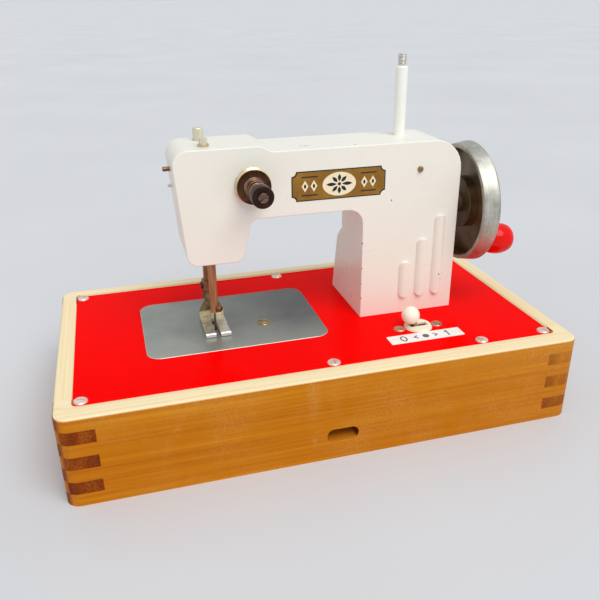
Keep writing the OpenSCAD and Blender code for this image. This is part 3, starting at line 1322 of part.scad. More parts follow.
front_board();
rear_board();
left_board();
right_board();
bottom_panel();
bottom_panel_screws();
top_plate();
top_plate_screws();
needle_plate();
needle_plate_screw();
body_shell();
rear_cover();
body_screws();
spool_pin();
spool_rod();
thread_guides();
tension_stud();
tension_discs();
tension_spring();
tension_knob();
shaft_bracket();
bracket_screw();
bearing_bushes();
main_shaft();
hand_wheel();
wheel_nut();
handle_pin();
handle_knob();
crank_disc();
shaft_pulleys();
lower_pulley();
drive_belts();
lever_bracket();
rocking_lever();
needle_bar();
needle_carrier();
needle_clamp_screw();
needle();
presser_bar();
presser_collar();
presser_spring();
presser_foot();
presser_foot_screw();
presser_lifter();
lower_shaft();
shaft_hangers();
looper();
feed_eccentric();
feed_dog();
feed_guide();
motor();
motor_cradle();
motor_rotor();
battery();
wiring();
switch_rosette();
switch_rivets();
switch_lever();
switch_ball();
switch_body();
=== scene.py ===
import json
import math

import bmesh
import bpy
from mathutils import Matrix, Vector


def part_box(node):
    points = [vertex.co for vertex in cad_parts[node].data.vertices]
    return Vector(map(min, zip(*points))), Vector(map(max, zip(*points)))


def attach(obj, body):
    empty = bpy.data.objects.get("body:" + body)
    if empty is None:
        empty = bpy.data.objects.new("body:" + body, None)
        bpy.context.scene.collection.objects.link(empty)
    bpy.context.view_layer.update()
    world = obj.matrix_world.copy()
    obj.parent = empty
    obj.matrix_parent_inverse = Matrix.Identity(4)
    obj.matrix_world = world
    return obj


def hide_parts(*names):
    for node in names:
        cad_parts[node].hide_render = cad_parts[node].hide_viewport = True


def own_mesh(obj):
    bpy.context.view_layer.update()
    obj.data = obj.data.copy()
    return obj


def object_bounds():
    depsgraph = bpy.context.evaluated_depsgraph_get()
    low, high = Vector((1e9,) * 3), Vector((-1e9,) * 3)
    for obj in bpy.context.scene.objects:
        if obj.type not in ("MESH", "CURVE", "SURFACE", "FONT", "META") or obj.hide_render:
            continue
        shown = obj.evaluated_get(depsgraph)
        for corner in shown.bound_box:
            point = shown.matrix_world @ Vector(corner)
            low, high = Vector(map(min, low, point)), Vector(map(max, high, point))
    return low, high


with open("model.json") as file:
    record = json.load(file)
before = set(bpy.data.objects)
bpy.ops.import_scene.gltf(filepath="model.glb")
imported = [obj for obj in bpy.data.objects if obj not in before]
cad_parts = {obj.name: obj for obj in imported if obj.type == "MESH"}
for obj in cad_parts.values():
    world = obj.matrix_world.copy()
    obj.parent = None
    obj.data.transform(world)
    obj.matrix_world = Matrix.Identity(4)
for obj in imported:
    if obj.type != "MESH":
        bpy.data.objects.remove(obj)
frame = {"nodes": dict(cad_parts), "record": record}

MM = 0.001
CAD_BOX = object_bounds()
RECORD = frame["record"]
NODES = frame["nodes"]
SLOT_OF = {row["node"]: row["material_slot"] for row in RECORD["subparts"]}
BODY_OF = {node: body for body, names in RECORD["behaviour"]["bodies"].items() for node in names}
X, Y, Z = Vector((1, 0, 0)), Vector((0, 1, 0)), Vector((0, 0, 1))

# Places on the object, in millimetres
FRONT_Y = -12.5
PLATE_TOP = 48.8
BASE_TOP = 50.0
SHAFT = (0, 5.25, 109.5)
NEEDLE_HOLE = (-52.3, -2.5, PLATE_TOP)
TENSION_X, TENSION_Z = -29.1, 134.5
SPOOL = (62.5, 9.5)

# What finishes share: where most values of a noise lie, a coat's roughness, the noise scales of gloss and
# relief as shares of the scale of the tones, and how spots fade out
NOISE_SPAN = (0.3, 0.7)
COAT_ROUGH = 0.1
GLOSS_SHARE, RELIEF_SHARE = 0.35, 1.7
SPOT_CORE_SHARE, SPOT_RAGGED_SCALE = 0.75, 1400.0


def rgb(r, g, b):
    """A screen colour, 0 to 255, as the linear colour that a shader takes."""
    def linear(v):
        v /= 255
        return v / 12.92 if v <= 0.04045 else ((v + 0.055) / 1.055) ** 2.4
    return (linear(r), linear(g), linear(b), 1)


class Paint:
    """A procedural material: one Principled shader and the nodes that feed it."""

    def __init__(self, name, metal=0.0, specular=0.5, coat=0.0):
        self.material = bpy.data.materials.new(name)
        self.material.use_nodes = True
        self.tree = self.material.node_tree
        self.shader = self.tree.nodes["Principled BSDF"]
        coords = self.add("ShaderNodeTexCoord")
        self.place = coords.outputs["Object"]
        self.normal = coords.outputs["Normal"]
        self.set("Metallic", metal)
        self.set("Specular IOR Level", specular)
        self.set("Coat Weight", coat)
        self.set("Coat Roughness", COAT_ROUGH)

    def set(self, socket, value):
        self.feed(self.shader.inputs[socket], value)

    def feed(self, socket, value):
        if isinstance(value, bpy.types.NodeSocket):
            self.tree.links.new(value, socket)
        else:
            socket.default_value = value

    def add(self, kind, inputs=(), **settings):
        node = self.tree.nodes.new(kind)
        for key, value in settings.items():
            setattr(node, key, value)
        for key, value in dict(inputs).items():
            self.feed(node.inputs[key], value)
        return node

    def math(self, operation, a, b=0.0):
        return self.add("ShaderNodeMath", {0: a, 1: b}, operation=operation).outputs[0]

    def times(self, a, b):
        return self.math("MULTIPLY", a, b)

    def plus(self, a, b):
        return self.math("ADD", a, b)

    def most(self, a, b):
        return self.math("MAXIMUM", a, b)

    def vector(self, operation, a, b):
        return self.add("ShaderNodeVectorMath", {0: a, 1: b}, operation=operation).outputs[0]

    def gap(self, place, spot):
        """Distance from a place to a spot in millimetres."""
        spot = [c * MM for c in spot]
        made = self.add("ShaderNodeVectorMath", {0: place, 1: spot}, operation="DISTANCE")
        return made.outputs["Value"]

    def stretch(self, scale, turn=0.0):
        """The place, scaled along the axes and turned about Z by degrees."""
        turned = (0, 0, math.radians(turn))
        made = self.add("ShaderNodeMapping", {"Vector": self.place, "Scale": scale, "Rotation": turned})
        return made.outputs[0]

    def noise(self, scale=1.0, detail=3.0, rough=0.55, vector=None):
        made = self.add("ShaderNodeTexNoise", {"Vector": vector or self.place, "Scale": scale,
                                               "Detail": detail, "Roughness": rough})
        return made.outputs["Fac"]

    def level(self, value, low, high, to_low=0.0, to_high=1.0):
        made = self.add("ShaderNodeMapRange", {0: value, 1: low, 2: high, 3: to_low, 4: to_high})
        return made.outputs[0]

    def across(self, value, low, high, to_low=0.0, to_high=1.0):
        """level() with its limits in millimetres."""
        return self.level(value, low * MM, high * MM, to_low, to_high)

    def ramp(self, value, stops):
        node = self.add("ShaderNodeValToRGB", {"Fac": value})
        elements = node.color_ramp.elements
        while len(elements) < len(stops):
            elements.new(0.5)
        for element, (position, colour) in zip(elements, stops):
            element.position = position
            element.color = rgb(*colour)
        return node.outputs["Color"]

    def tones(self, value, colours, span=NOISE_SPAN):
        """A ramp with its colours evenly spread over a span of values."""
        step = (span[1] - span[0]) / (len(colours) - 1)
        return self.ramp(value, [(span[0] + k * step, colour) for k, colour in enumerate(colours)])

    def mix(self, factor, a, b):
        node = self.add("ShaderNodeMix", {0: factor, 6: a, 7: b}, data_type="RGBA")
        return node.outputs[2]

    def axes(self, vector):
        return self.add("ShaderNodeSeparateXYZ", {0: vector}).outputs

    def gloss(self, noise, low, high):
        self.set("Roughness", self.level(noise, *NOISE_SPAN, low, high))

    def bump(self, height, depth, strength=1.0):
        """Relief with its depth in millimetres."""
        made = self.add("ShaderNodeBump", {"Height": height, "Distance": depth * MM, "Strength": strength})
        self.set("Normal", made.outputs[0])

    def spots(self, places, wobble=0.6):
        """1 inside the spots, each (x, y, z, radius) in millimetres, with ragged edges, and 0 elsewhere."""
        ragged = self.add("ShaderNodeTexNoise", {"Vector": self.place, "Scale": SPOT_RAGGED_SCALE,
                                                 "Detail": 2.0})
        shift = self.vector("SUBTRACT", ragged.outputs["Color"], (0.5, 0.5, 0.5))
        scaled = self.add("ShaderNodeVectorMath", {0: shift, "Scale": wobble * MM}, operation="SCALE")
        moved = self.vector("ADD", self.place, scaled.outputs[0])
        total = None
        for *spot, radius in places:
            inside = self.across(self.gap(moved, spot), SPOT_CORE_SHARE * radius, radius, 1.0, 0.0)
            total = inside if total is None else self.most(total, inside)
        return total


def surface(name, tones, scale, rough, metal=0.0, specular=0.5, coat=0.0, stretch=(1, 1, 1), depth=0.0):
    """A finish with mottled tones, uneven gloss and fine relief."""
    paint = Paint(name, metal, specular, coat)
    place = paint.stretch(stretch)
    grain = paint.noise(scale, detail=5.0, rough=0.6, vector=place)
    paint.set("Base Color", paint.tones(grain, tones))
    paint.gloss(paint.noise(scale * GLOSS_SHARE), *rough)
    if depth:
        paint.bump(paint.noise(scale * RELIEF_SHARE, rough=0.6, vector=place), depth)
    return paint.material


# Chips and smudges in the white enamel, each (x, y, z, radius) in millimetres
CHIPS = [(33.6, -12.3, 95.5, 0.5), (33.6, -12.3, 80.0, 0.45), (33.6, -12.3, 70.5, 0.4),
         (33.7, -12.3, 61.0, 0.5), (82.6, -14.0, 71.5, 0.75), (84.2, -13.8, 68.0, 0.45),
         (50.3, -12.5, 119.6, 0.5), (-62.0, -12.0, 152.6, 0.5), (62.6, -12.4, 60.0, 0.3),
         (-66.4, -12.2, 128.4, 0.35)]
SMUDGES = [(0.0, -3.2, 151.5, 1.0), (2.2, -3.5, 151.5, 1.1), (4.2, -3.6, 151.5, 0.9),
           (29.0, -8.6, 151.5, 0.9)]


def white_enamel():
    """Stove enamel with fine specks, smudges on the arm's top and chips along the edges."""
    speck_tone, smudge_tone, chip_tone = rgb(206, 198, 184), rgb(176, 174, 172), rgb(62, 52, 46)
    paint = Paint("white_enamel", specular=0.4, coat=0.1)
    tone = paint.tones(paint.noise(18.0), [(238, 236, 223), (243, 241, 230)])
    tone = paint.mix(paint.level(paint.noise(620.0, detail=2.0), 0.77, 0.8), tone, speck_tone)
    tone = paint.mix(paint.spots(SMUDGES, wobble=2.4), tone, smudge_tone)
    paint.set("Base Color", paint.mix(paint.spots(CHIPS), tone, chip_tone))
    paint.gloss(paint.noise(60.0), 0.26, 0.36)
    paint.bump(paint.noise(90.0, detail=2.0), depth=0.02, strength=0.5)
    return paint.material


# Sets of fine scratches in the red enamel: direction in degrees, noise scales along the lines and of their
# patches
SCRATCHES = ((8, 9.0, 34.0), (-16, 12.0, 37.0), (61, 16.0, 41.0))
SCRATCH_FINENESS = (1500, 40)


def red_enamel():
    """Stove enamel with fine scratches."""
    scratch_tone, scratch_strength, scratch_rough = rgb(250, 92, 66), 0.4, 0.5
    paint = Paint("red_enamel", specular=0.012)
    tone = paint.tones(paint.noise(14.0), [(243, 0, 0), (250, 3, 1)])
    marks = None
    for turn, along, patches in SCRATCHES:
        line = paint.noise(detail=2.0, rough=0.5, vector=paint.stretch((along, *SCRATCH_FINENESS), turn))
        where = paint.noise(patches, detail=2.0)
        thin = paint.times(paint.level(line, 0.70, 0.74), paint.level(where, 0.54, 0.66))
        marks = thin if marks is None else paint.most(marks, thin)
    paint.set("Base Color", paint.mix(paint.times(marks, scratch_strength), tone, scratch_tone))
    smooth = paint.level(paint.noise(45.0, detail=4.0), *NOISE_SPAN, 0.16, 0.27)
    paint.set("Roughness", paint.most(smooth, paint.times(marks, scratch_rough)))
    paint.bump(paint.noise(30.0, detail=2.0), depth=0.05, strength=0.6)
    return paint.material


# Wear of the boards, the painted light on their tops and the fading of their end grain towards the right
# corner: where each is, each from the start of a change to its end, and how strongly it shows
SCUFF_X, SCUFF_REACH, SCUFF_Z = -15, (1, 5), (20, 42)
UPPER_RIGHT_X, UPPER_RIGHT_Z = (60, 125), (20, 46)
TOP_LIGHT_Z = (40, 44)
END_GRAIN_FADE_X, END_GRAIN_FADE_Z, END_GRAIN_FADE_SHARES = (112, 130), (0, 46), (0.2, 0.85)
WORN_STRENGTH, FLECK_STRENGTH, RUB_STRENGTH = 0.5, 0.3, 0.25
FIBRE_SHARE, BAND_SHARE = 0.72, 0.28
PORE_SHARE, YEAR_RING_SHARE = 0.5, 0.5
FLECK_RELIEF = -0.6


def wood(name, along):
    """Beech with its grain along axis 0 or 1: honey sides, a top painted paler as lit from above, dark end
    grain.
    """
    worn_tone, fleck_tone, rub_tone = rgb(220, 176, 106), rgb(150, 88, 18), rgb(226, 182, 112)
    paint = Paint(name, specular=0.1)
    place = paint.axes(paint.place)
    facing = paint.axes(paint.normal)

    def grained(crosswise, lengthwise, detail, rough=0.5):
        """Noise that is drawn out along the grain."""
        scale = [crosswise] * 3
        scale[along] = lengthwise
        return paint.noise(detail=detail, rough=rough, vector=paint.stretch(scale))

    fibre = grained(520.0, 7.0, detail=4.0, rough=0.65)
    band = grained(70.0, 2.2, detail=3.0)
    fleck = paint.level(grained(900.0, 120.0, detail=2.0), 0.69, 0.74)
    grain = paint.plus(paint.times(fibre, FIBRE_SHARE), paint.times(band, BAND_SHARE))
    side = paint.ramp(grain, [(0.34, (183, 103, 3)), (0.46, (194, 114, 6)), (0.56, (200, 121, 10)),
                              (0.68, (210, 136, 27))])
    # The top's tones: the same wood painted paler, as lit from above
    top = paint.ramp(grain, [(0.34, (236, 211, 161)), (0.5, (243, 224, 181)), (0.68, (247, 232, 198))])

    # Pale wear in fine specks: in patches, on one scuff, and towards the upper right of the boards
    speckle = paint.level(paint.noise(rough=0.6, vector=paint.stretch((1900, 1900, 1100))), 0.4, 0.72)
    patch = paint.level(paint.noise(26.0, detail=4.0, rough=0.65), 0.42, 0.78)
    beside = paint.math("ABSOLUTE", paint.plus(place[0], -SCUFF_X * MM))
    scuff = paint.times(paint.across(beside, *SCUFF_REACH, 1.0, 0.0), paint.across(place[2], *SCUFF_Z))
    upper_right = paint.times(paint.across(place[0], *UPPER_RIGHT_X), paint.across(place[2], *UPPER_RIGHT_Z))
    worn = paint.times(paint.most(paint.most(patch, scuff), upper_right), speckle)
    side = paint.mix(paint.times(worn, WORN_STRENGTH), side, worn_tone)

    # Top painted paler as lit from above, then dark flecks and pale rubs all over
    lit_top_share = paint.times(paint.level(facing[2], 0.25, 0.7), paint.across(place[2], *TOP_LIGHT_Z))
    tone = paint.mix(lit_top_share, side, top)
    tone = paint.mix(paint.times(fleck, FLECK_STRENGTH), tone, fleck_tone)
    rub = paint.level(paint.noise(55.0, detail=6.0, rough=0.75), 0.62, 0.74)
    tone = paint.mix(paint.times(rub, RUB_STRENGTH), tone, rub_tone)

    # End grain, fading towards the right corner, where it is partly a painted highlight on the corner's
    # rounding
    end_grain_fade = paint.times(paint.across(place[0], *END_GRAIN_FADE_X), paint.across(place[2], *END_GRAIN_FADE_Z, *END_GRAIN_FADE_SHARES))
    cut = paint.level(paint.math("ABSOLUTE", facing[along]), 0.55, 0.8)
    cut = paint.times(cut, paint.math("SUBTRACT", 1.0, end_grain_fade))
    pores = paint.noise(1100.0, rough=0.6)
    rings = paint.noise(detail=2.0, rough=0.5, vector=paint.stretch((160, 160, 60)))
    ends = paint.tones(paint.plus(paint.times(pores, PORE_SHARE), paint.times(rings, YEAR_RING_SHARE)),
                       [(98, 36, 3), (132, 56, 6), (164, 84, 18)], span=(0.36, 0.64))
    paint.set("Base Color", paint.mix(cut, tone, ends))
    paint.gloss(fibre, 0.38, 0.52)
    paint.bump(paint.plus(fibre, paint.times(fleck, FLECK_RELIEF)), depth=0.05, strength=0.6)
    return paint.material


# Hand wheel: where the painted shade inside its dish and the painted light on its boss start, each from the
# start of a change to its end, and its turning marks
SHADED_DISH_R, SHADED_DISH_X, LIT_BOSS_R = (33.2, 32.4), (108.4, 107.8), (15.8, 15.3)
BOSS_LIGHT = 0.25
TURNING_SCALE, TURNING_SHARE, CLOUD_SHARE = 2600.0, 0.4, 0.6


def turned_metal():
    """Turned aluminium, painted dark brown inside the dish as shade, with the boss there painted less dark as
    lit from above, and the lathe's rings round the shaft.
    """
    paint = Paint("turned_aluminium", metal=0.9)
    x, y, z = paint.axes(paint.vector("SUBTRACT", paint.place, [c * MM for c in SHAFT]))[:3]
    radius = paint.math("SQRT", paint.plus(paint.times(y, y), paint.times(z, z)))
    ring_place = paint.add("ShaderNodeCombineXYZ", {0: paint.times(x, TURNING_SCALE),
                                                    1: paint.times(radius, TURNING_SCALE)}).outputs[0]
    rings = paint.noise(detail=4.0, rough=0.6, vector=ring_place)
    cloud = paint.noise(90.0, detail=5.0, rough=0.65)
    bright = paint.tones(paint.plus(paint.times(rings, TURNING_SHARE), paint.times(cloud, CLOUD_SHARE)),
                         [(150, 147, 136), (182, 180, 170), (206, 205, 197)], span=(0.36, 0.64))
    # Inside the dish, tones painted dark brown as shade; the boss there is painted less dark, as lit from
    # above
    shaded_tone = paint.tones(cloud, [(80, 56, 20), (140, 105, 46)], span=(0.35, 0.65))
    inside = paint.times(paint.across(radius, *SHADED_DISH_R), paint.across(x, *SHADED_DISH_X))
    boss = paint.times(paint.across(radius, *LIT_BOSS_R), BOSS_LIGHT)
    paint.set("Base Color", paint.mix(paint.math("SUBTRACT", inside, boss), bright, shaded_tone))
    paint.gloss(cloud, 0.4, 0.56)
    paint.bump(rings, depth=0.03, strength=0.6)
    return paint.material


# Height over which the needle bar and the presser bar turn bright
BARS_BRIGHT_Z = (120, 150)


def bar_metal(name, lower_tones):
    """A bar that is darker and browner below the head and bright at its top."""
    paint = Paint(name, metal=0.5)
    streak = paint.noise(detail=4.0, rough=0.6, vector=paint.stretch((900, 900, 60)))
    bright = paint.tones(streak, [(206, 199, 172), (236, 230, 208)])
    upper = paint.across(paint.axes(paint.place)[2], *BARS_BRIGHT_Z)
    paint.set("Base Color", paint.mix(upper, paint.tones(streak, lower_tones), bright))
    paint.gloss(streak, 0.28, 0.42)
    return paint.material


# Needle plate: where its painted reflection and its smudge change, and how strongly
REFLECTION_END_X, TOE_REFLECTION_Y, TOE_REFLECTION_STRENGTH = (-84, -6), (0, -28), 0.5
SMUDGE_R, SMUDGE_STRENGTH = (6, 24), 0.5


def satin_plate():
    """The needle plate: ground steel with a painted reflection, paler at its left end and darker to the
    right, paler at its front where the toes are mirrored, and smudged round the needle.
    """
    toe_reflection_tone, smudge_tone = rgb(180, 180, 169), rgb(84, 76, 62)
    paint = Paint("satin_plate", metal=0.6)
    place = paint.axes(paint.place)
    grain = paint.noise(30.0, detail=5.0, rough=0.6)
    # Painted reflection: pale tones at the left end, darker tones to the right, paler again at the front
    # where the toes are mirrored
    pale = paint.tones(grain, [(139, 143, 136), (152, 156, 149), (164, 168, 160)])
    shaded_tone = paint.tones(grain, [(90, 92, 89), (102, 104, 101), (114, 116, 113)])
    tone = paint.mix(paint.across(place[0], *REFLECTION_END_X), pale, shaded_tone)
    tone = paint.mix(paint.across(place[1], *TOE_REFLECTION_Y, 0.0, TOE_REFLECTION_STRENGTH), tone, toe_reflection_tone)
    near = paint.across(paint.gap(paint.place, NEEDLE_HOLE), *SMUDGE_R, SMUDGE_STRENGTH, 0.0)
    smudge = paint.times(near, paint.noise(160.0, detail=4.0, rough=0.65))
    paint.set("Base Color", paint.mix(smudge, tone, smudge_tone))
    paint.gloss(paint.noise(10.0), 0.3, 0.44)
    paint.bump(paint.noise(51.0, rough=0.6), depth=0.01)
    return paint.material


# Presser foot: where its painted reflection, painted shade and painted highlight start, each from the start
# of a change to its end, and how uneven that is
BEND_REFLECTION_Z, SHANK_SHADE_Z, TOE_HIGHLIGHT_Y = (50.6, 51.4), (54.0, 54.8), (-11.5, -12.6)
WEAR_REACH = 0.5


def foot_metal():
    """The presser foot: toes painted near white as a highlight, its bend painted pale as a reflection and its
    shank painted dark as shade.
    """
    toe_highlight_tone = rgb(236, 235, 230)
    paint = Paint("foot_metal", metal=0.7)
    wear = paint.noise(260.0, detail=4.0, rough=0.6)
    y, z = paint.axes(paint.place)[1:3]
    height = paint.plus(z, paint.level(wear, *NOISE_SPAN, -WEAR_REACH * MM, WEAR_REACH * MM))
    sole = paint.tones(wear, [(184, 178, 158), (204, 199, 182)])
    # The bend painted pale as a reflection, the shank painted dark as shade
    bend = paint.tones(wear, [(206, 190, 156), (236, 223, 192)])
    shank = paint.tones(wear, [(98, 84, 54), (128, 112, 78), (158, 142, 106)])
    tone = paint.mix(paint.across(height, *BEND_REFLECTION_Z), sole, bend)
    tone = paint.mix(paint.across(height, *SHANK_SHADE_Z), tone, shank)
    paint.set("Base Color", paint.mix(paint.across(y, *TOE_HIGHLIGHT_Y), tone, toe_highlight_tone))
    paint.gloss(wear, 0.24, 0.4)
    return paint.material


MOTTLED = {
    "panel_wood": dict(tones=[(150, 112, 66), (176, 138, 88), (190, 154, 104)], scale=1.0, rough=(0.55, 0.7),
                       stretch=(5, 240, 240), depth=0.06),
    "plate_screw": dict(tones=[(214, 186, 170), (238, 214, 200), (250, 232, 220)], scale=160.0,
                        rough=(0.2, 0.34), metal=0.6),
    # The needle plate's cut edge: bare metal painted pale as a highlight
    "plate_edge": dict(tones=[(222, 204, 190), (240, 226, 214)], scale=200.0, rough=(0.3, 0.42), metal=0.3),
    "pale_grey_wire": dict(tones=[(196, 192, 180), (228, 225, 216)], scale=420.0, rough=(0.28, 0.42),
                           metal=0.6),
    "tan_screw": dict(tones=[(120, 98, 62), (160, 138, 96), (190, 170, 128)], scale=260.0, rough=(0.26, 0.4),
                      metal=0.75),
    "stud_brown": dict(tones=[(84, 64, 52), (116, 92, 76), (146, 120, 102)], scale=300.0, rough=(0.26, 0.4),
                       metal=0.7),
    "knob_flange": dict(tones=[(110, 84, 72), (150, 122, 108), (180, 152, 138)], scale=260.0,
                        rough=(0.24, 0.38), metal=0.5),
    "label_ink": dict(tones=[(70, 78, 80), (92, 100, 102)], scale=260.0, rough=(0.4, 0.5)),
    "nickel": dict(tones=[(176, 170, 156), (196, 191, 178), (208, 204, 193)], scale=160.0, rough=(0.22, 0.36),
                   metal=0.95),
    "spool_white": dict(tones=[(246, 245, 235), (252, 251, 244)], scale=80.0, rough=(0.3, 0.42), depth=0.01),
    "copper_wire": dict(tones=[(108, 76, 56), (136, 101, 77), (164, 128, 102)], scale=260.0,
                        rough=(0.28, 0.44), metal=0.8),
    "dark_steel": dict(tones=[(70, 66, 60), (92, 88, 80), (112, 106, 96)], scale=240.0, rough=(0.32, 0.46),
                       metal=0.85),
    "brown_disc": dict(tones=[(54, 32, 18), (80, 51, 30), (106, 73, 45)], scale=150.0, rough=(0.24, 0.38),
                       metal=0.35, coat=0.15),
    "brown_knob": dict(tones=[(28, 13, 8), (40, 21, 13), (54, 31, 20)], scale=210.0, rough=(0.26, 0.38),
                       specular=0.15),
    "zinc_sheet": dict(tones=[(142, 146, 146), (164, 168, 168), (182, 186, 186)], scale=120.0,
                       rough=(0.34, 0.5), metal=0.85),
    "bronze": dict(tones=[(176, 162, 126), (204, 192, 158), (220, 210, 180)], scale=200.0, rough=(0.28, 0.42),
                   metal=0.7),
    "bright_shaft": dict(tones=[(168, 168, 166), (192, 192, 190), (206, 206, 205)], scale=1.0,
                         rough=(0.2, 0.32), metal=0.95, stretch=(600, 90, 90)),
    "red_plastic": dict(tones=[(222, 6, 6), (236, 12, 8)], scale=90.0, rough=(0.2, 0.28), specular=0.05,
                        coat=0.35, depth=0.008),
    "black_plastic": dict(tones=[(24, 24, 25), (38, 38, 40)], scale=180.0, rough=(0.34, 0.48)),
    "belt_rubber": dict(tones=[(28, 27, 26), (44, 42, 40)], scale=420.0, rough=(0.6, 0.78), depth=0.05),
    "coppery_steel": dict(tones=[(104, 62, 42), (150, 100, 72), (178, 130, 100)], scale=130.0,
                          rough=(0.28, 0.42), metal=0.8, stretch=(1, 1, 0.35)),
    "brown_screw": dict(tones=[(92, 53, 26), (134, 83, 46), (166, 112, 68)], scale=300.0, rough=(0.3, 0.46),
                        metal=0.7),
    "motor_can": dict(tones=[(152, 154, 154), (176, 178, 178)], scale=150.0, rough=(0.28, 0.42), metal=0.9),
    "battery_wrap": dict(tones=[(26, 54, 116), (36, 70, 142)], scale=60.0, rough=(0.3, 0.42), coat=0.2),
    "lead_cover": dict(tones=[(196, 160, 40), (214, 180, 58)], scale=220.0, rough=(0.45, 0.6)),
    "switch_white": dict(tones=[(240, 231, 203), (247, 240, 218)], scale=120.0, rough=(0.28, 0.4),
                         depth=0.008),
    "cream_ball": dict(tones=[(248, 241, 216), (252, 247, 228)], scale=120.0, rough=(0.18, 0.28), coat=0.25,
                       depth=0.006),
    "brass_rivet": dict(tones=[(146, 110, 84), (188, 152, 124), (216, 188, 164)], scale=320.0,
                        rough=(0.28, 0.44), metal=0.85),
    "gold_leaf": dict(tones=[(138, 96, 22), (152, 108, 30), (164, 120, 40)], scale=130.0, rough=(0.3, 0.42),
                      metal=0.35),
    "black_ink": dict(tones=[(14, 12, 10), (26, 22, 18)], scale=260.0, rough=(0.34, 0.46)),
    "cream_ink": dict(tones=[(240, 228, 190), (248, 238, 208)], scale=200.0, rough=(0.36, 0.48)),
    "label_white": dict(tones=[(238, 236, 230), (247, 246, 242)], scale=160.0, rough=(0.3, 0.42)),
    "brass_rim": dict(tones=[(196, 172, 128), (224, 204, 164), (240, 226, 194)], scale=240.0,
                      rough=(0.26, 0.4), metal=0.6),
}
FINISH = {name: surface(name, **look) for name, look in MOTTLED.items()}
FINISH["white_enamel"] = white_enamel()
FINISH["red_enamel"] = red_enamel()
FINISH["wood_x"] = wood("beech_long", 0)
FINISH["wood_y"] = wood("beech_short", 1)
FINISH["pale_wood"] = FINISH["wood_x"]
FINISH["turned_aluminium"] = turned_metal()
FINISH["satin_plate"] = satin_plate()
FINISH["needle_bar_metal"] = bar_metal("needle_bar_metal",
                                       [(148, 113, 74), (173, 139, 96), (190, 161, 118)])
FINISH["presser_bar_metal"] = bar_metal("presser_bar_metal",
                                        [(104, 84, 54), (150, 126, 88), (174, 152, 114)])
FINISH["foot_metal"] = foot_metal()

# How shapes are copied and shaded: joining distance in millimetres, angles in degrees
JOIN_GAP = 0.004
FLAT_ANGLE, CORNER_ANGLE, SHARP_ANGLE = 0.6, 32.0, 38.0


def piece(name, mesh, body, finishes, replaced=()):
    """Makes a piece of a bmesh, riding on a body, in place of the given nodes."""
    data = bpy.data.meshes.new(name)
    mesh.normal_update()
    mesh.to_mesh(data)
    mesh.free()
    for face in data.polygons:
        face.use_smooth = True
    data.set_sharp_from_angle(angle=math.radians(SHARP_ANGLE))
    for finish in finishes.split():
        data.materials.append(FINISH[finish])
    made = bpy.data.objects.new(name, data)
    bpy.context.scene.collection.objects.link(made)
    modifier = made.modifiers.new("even_normals", "WEIGHTED_NORMAL")
    modifier.keep_sharp = True
    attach(made, body)
    if replaced:
        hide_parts(*replaced)
    return made


def finished(node, mesh, finishes=None):
    """Makes the piece that stands for a node."""
    return piece(node + "_finished", mesh, BODY_OF[node], finishes or SLOT_OF[node], [node])


def copied(node):
    """A node's shape with its triangles joined to plain faces."""
    mesh = bmesh.new()
    mesh.from_mesh(NODES[node].data)
    bmesh.ops.remove_doubles(mesh, verts=mesh.verts, dist=JOIN_GAP * MM)
    bmesh.ops.dissolve_limit(mesh, angle_limit=math.radians(FLAT_ANGLE), verts=mesh.verts, edges=mesh.edges)
    return mesh


def corner_edges(mesh, angle=CORNER_ANGLE, pick=None):
    """Convex edges that turn by at least an angle."""
    found = []
    for edge in mesh.edges:
        if len(edge.link_faces) != 2 or edge.calc_face_angle_signed(0.0) < math.radians(angle):
            continue
        if pick is None or pick(edge):
            found.append(edge)
    return found


def soften(mesh, edges, width, steps=2):
    """Rounds edges by a width in millimetres."""
    if edges:
        bmesh.ops.bevel(mesh, geom=edges, offset=width * MM, offset_type="OFFSET", segments=steps,
                        profile=0.5, affect="EDGES", clamp_overlap=True)


def dress(node, width, steps=2, finish=None):
    """The node's own shape with its corners softened."""
    mesh = copied(node)
    soften(mesh, corner_edges(mesh), width, steps)
    finished(node, mesh, finish)


def ring(mesh, centre, side, across, radius, steps):
    """Points round a centre in metres, at a radius in millimetres."""
    return [mesh.verts.new(centre + (side * math.cos(a) + across * math.sin(a)) * radius * MM)
            for a in (2 * math.pi * k / steps for k in range(steps))]


def lathe(mesh, profile, origin, axis, steps=72, closed=False, paint=0):
    """Turns (distance, radius) points, in millimetres, about an axis: an open profile or a ring's outline."""
    side = axis.orthogonal().normalized()
    across = axis.cross(side)
    rings = []
    for along, radius in profile:
        centre = Vector(origin) * MM + axis * along * MM
        if radius > 0:
            rings.append(ring(mesh, centre, side, across, radius, steps))
        else:
            rings.append([mesh.verts.new(centre)])
    made = []
    for first, second in zip(rings, rings[1:] + rings[:1] if closed else rings[1:]):
        for k in range(steps):
            n = (k + 1) % steps
            corners = [first[k % len(first)], first[n % len(first)],
                       second[n % len(second)], second[k % len(second)]]
            unique = list(dict.fromkeys(corners))
            if len(unique) > 2:
                made.append(mesh.faces.new(unique))
    if not closed:
        made.extend(mesh.faces.new(end) for end in (rings[0], rings[-1]) if len(end) > 1)
    for face in made:
        face.material_index = paint
    bmesh.ops.recalc_face_normals(mesh, faces=made)


def tube(mesh, points, radius, steps=12):
    """A round wire through points in metres, with flat ends."""
    normal = None
    rings = []
    for k, point in enumerate(points):
        heading = (points[min(k + 1, len(points) - 1)] - points[max(k - 1, 0)]).normalized()
        normal = heading.orthogonal() if normal is None else normal - heading * normal.dot(heading)
        normal.normalize()
        rings.append(ring(mesh, point, normal, heading.cross(normal), radius, steps))
    made = []
    for first, second in zip(rings, rings[1:]):
        for j in range(steps):
            n = (j + 1) % steps
            made.append(mesh.faces.new((first[j], first[n], second[n], second[j])))
    made.extend(mesh.faces.new(end) for end in (rings[0], rings[-1]))
    bmesh.ops.recalc_face_normals(mesh, faces=made)


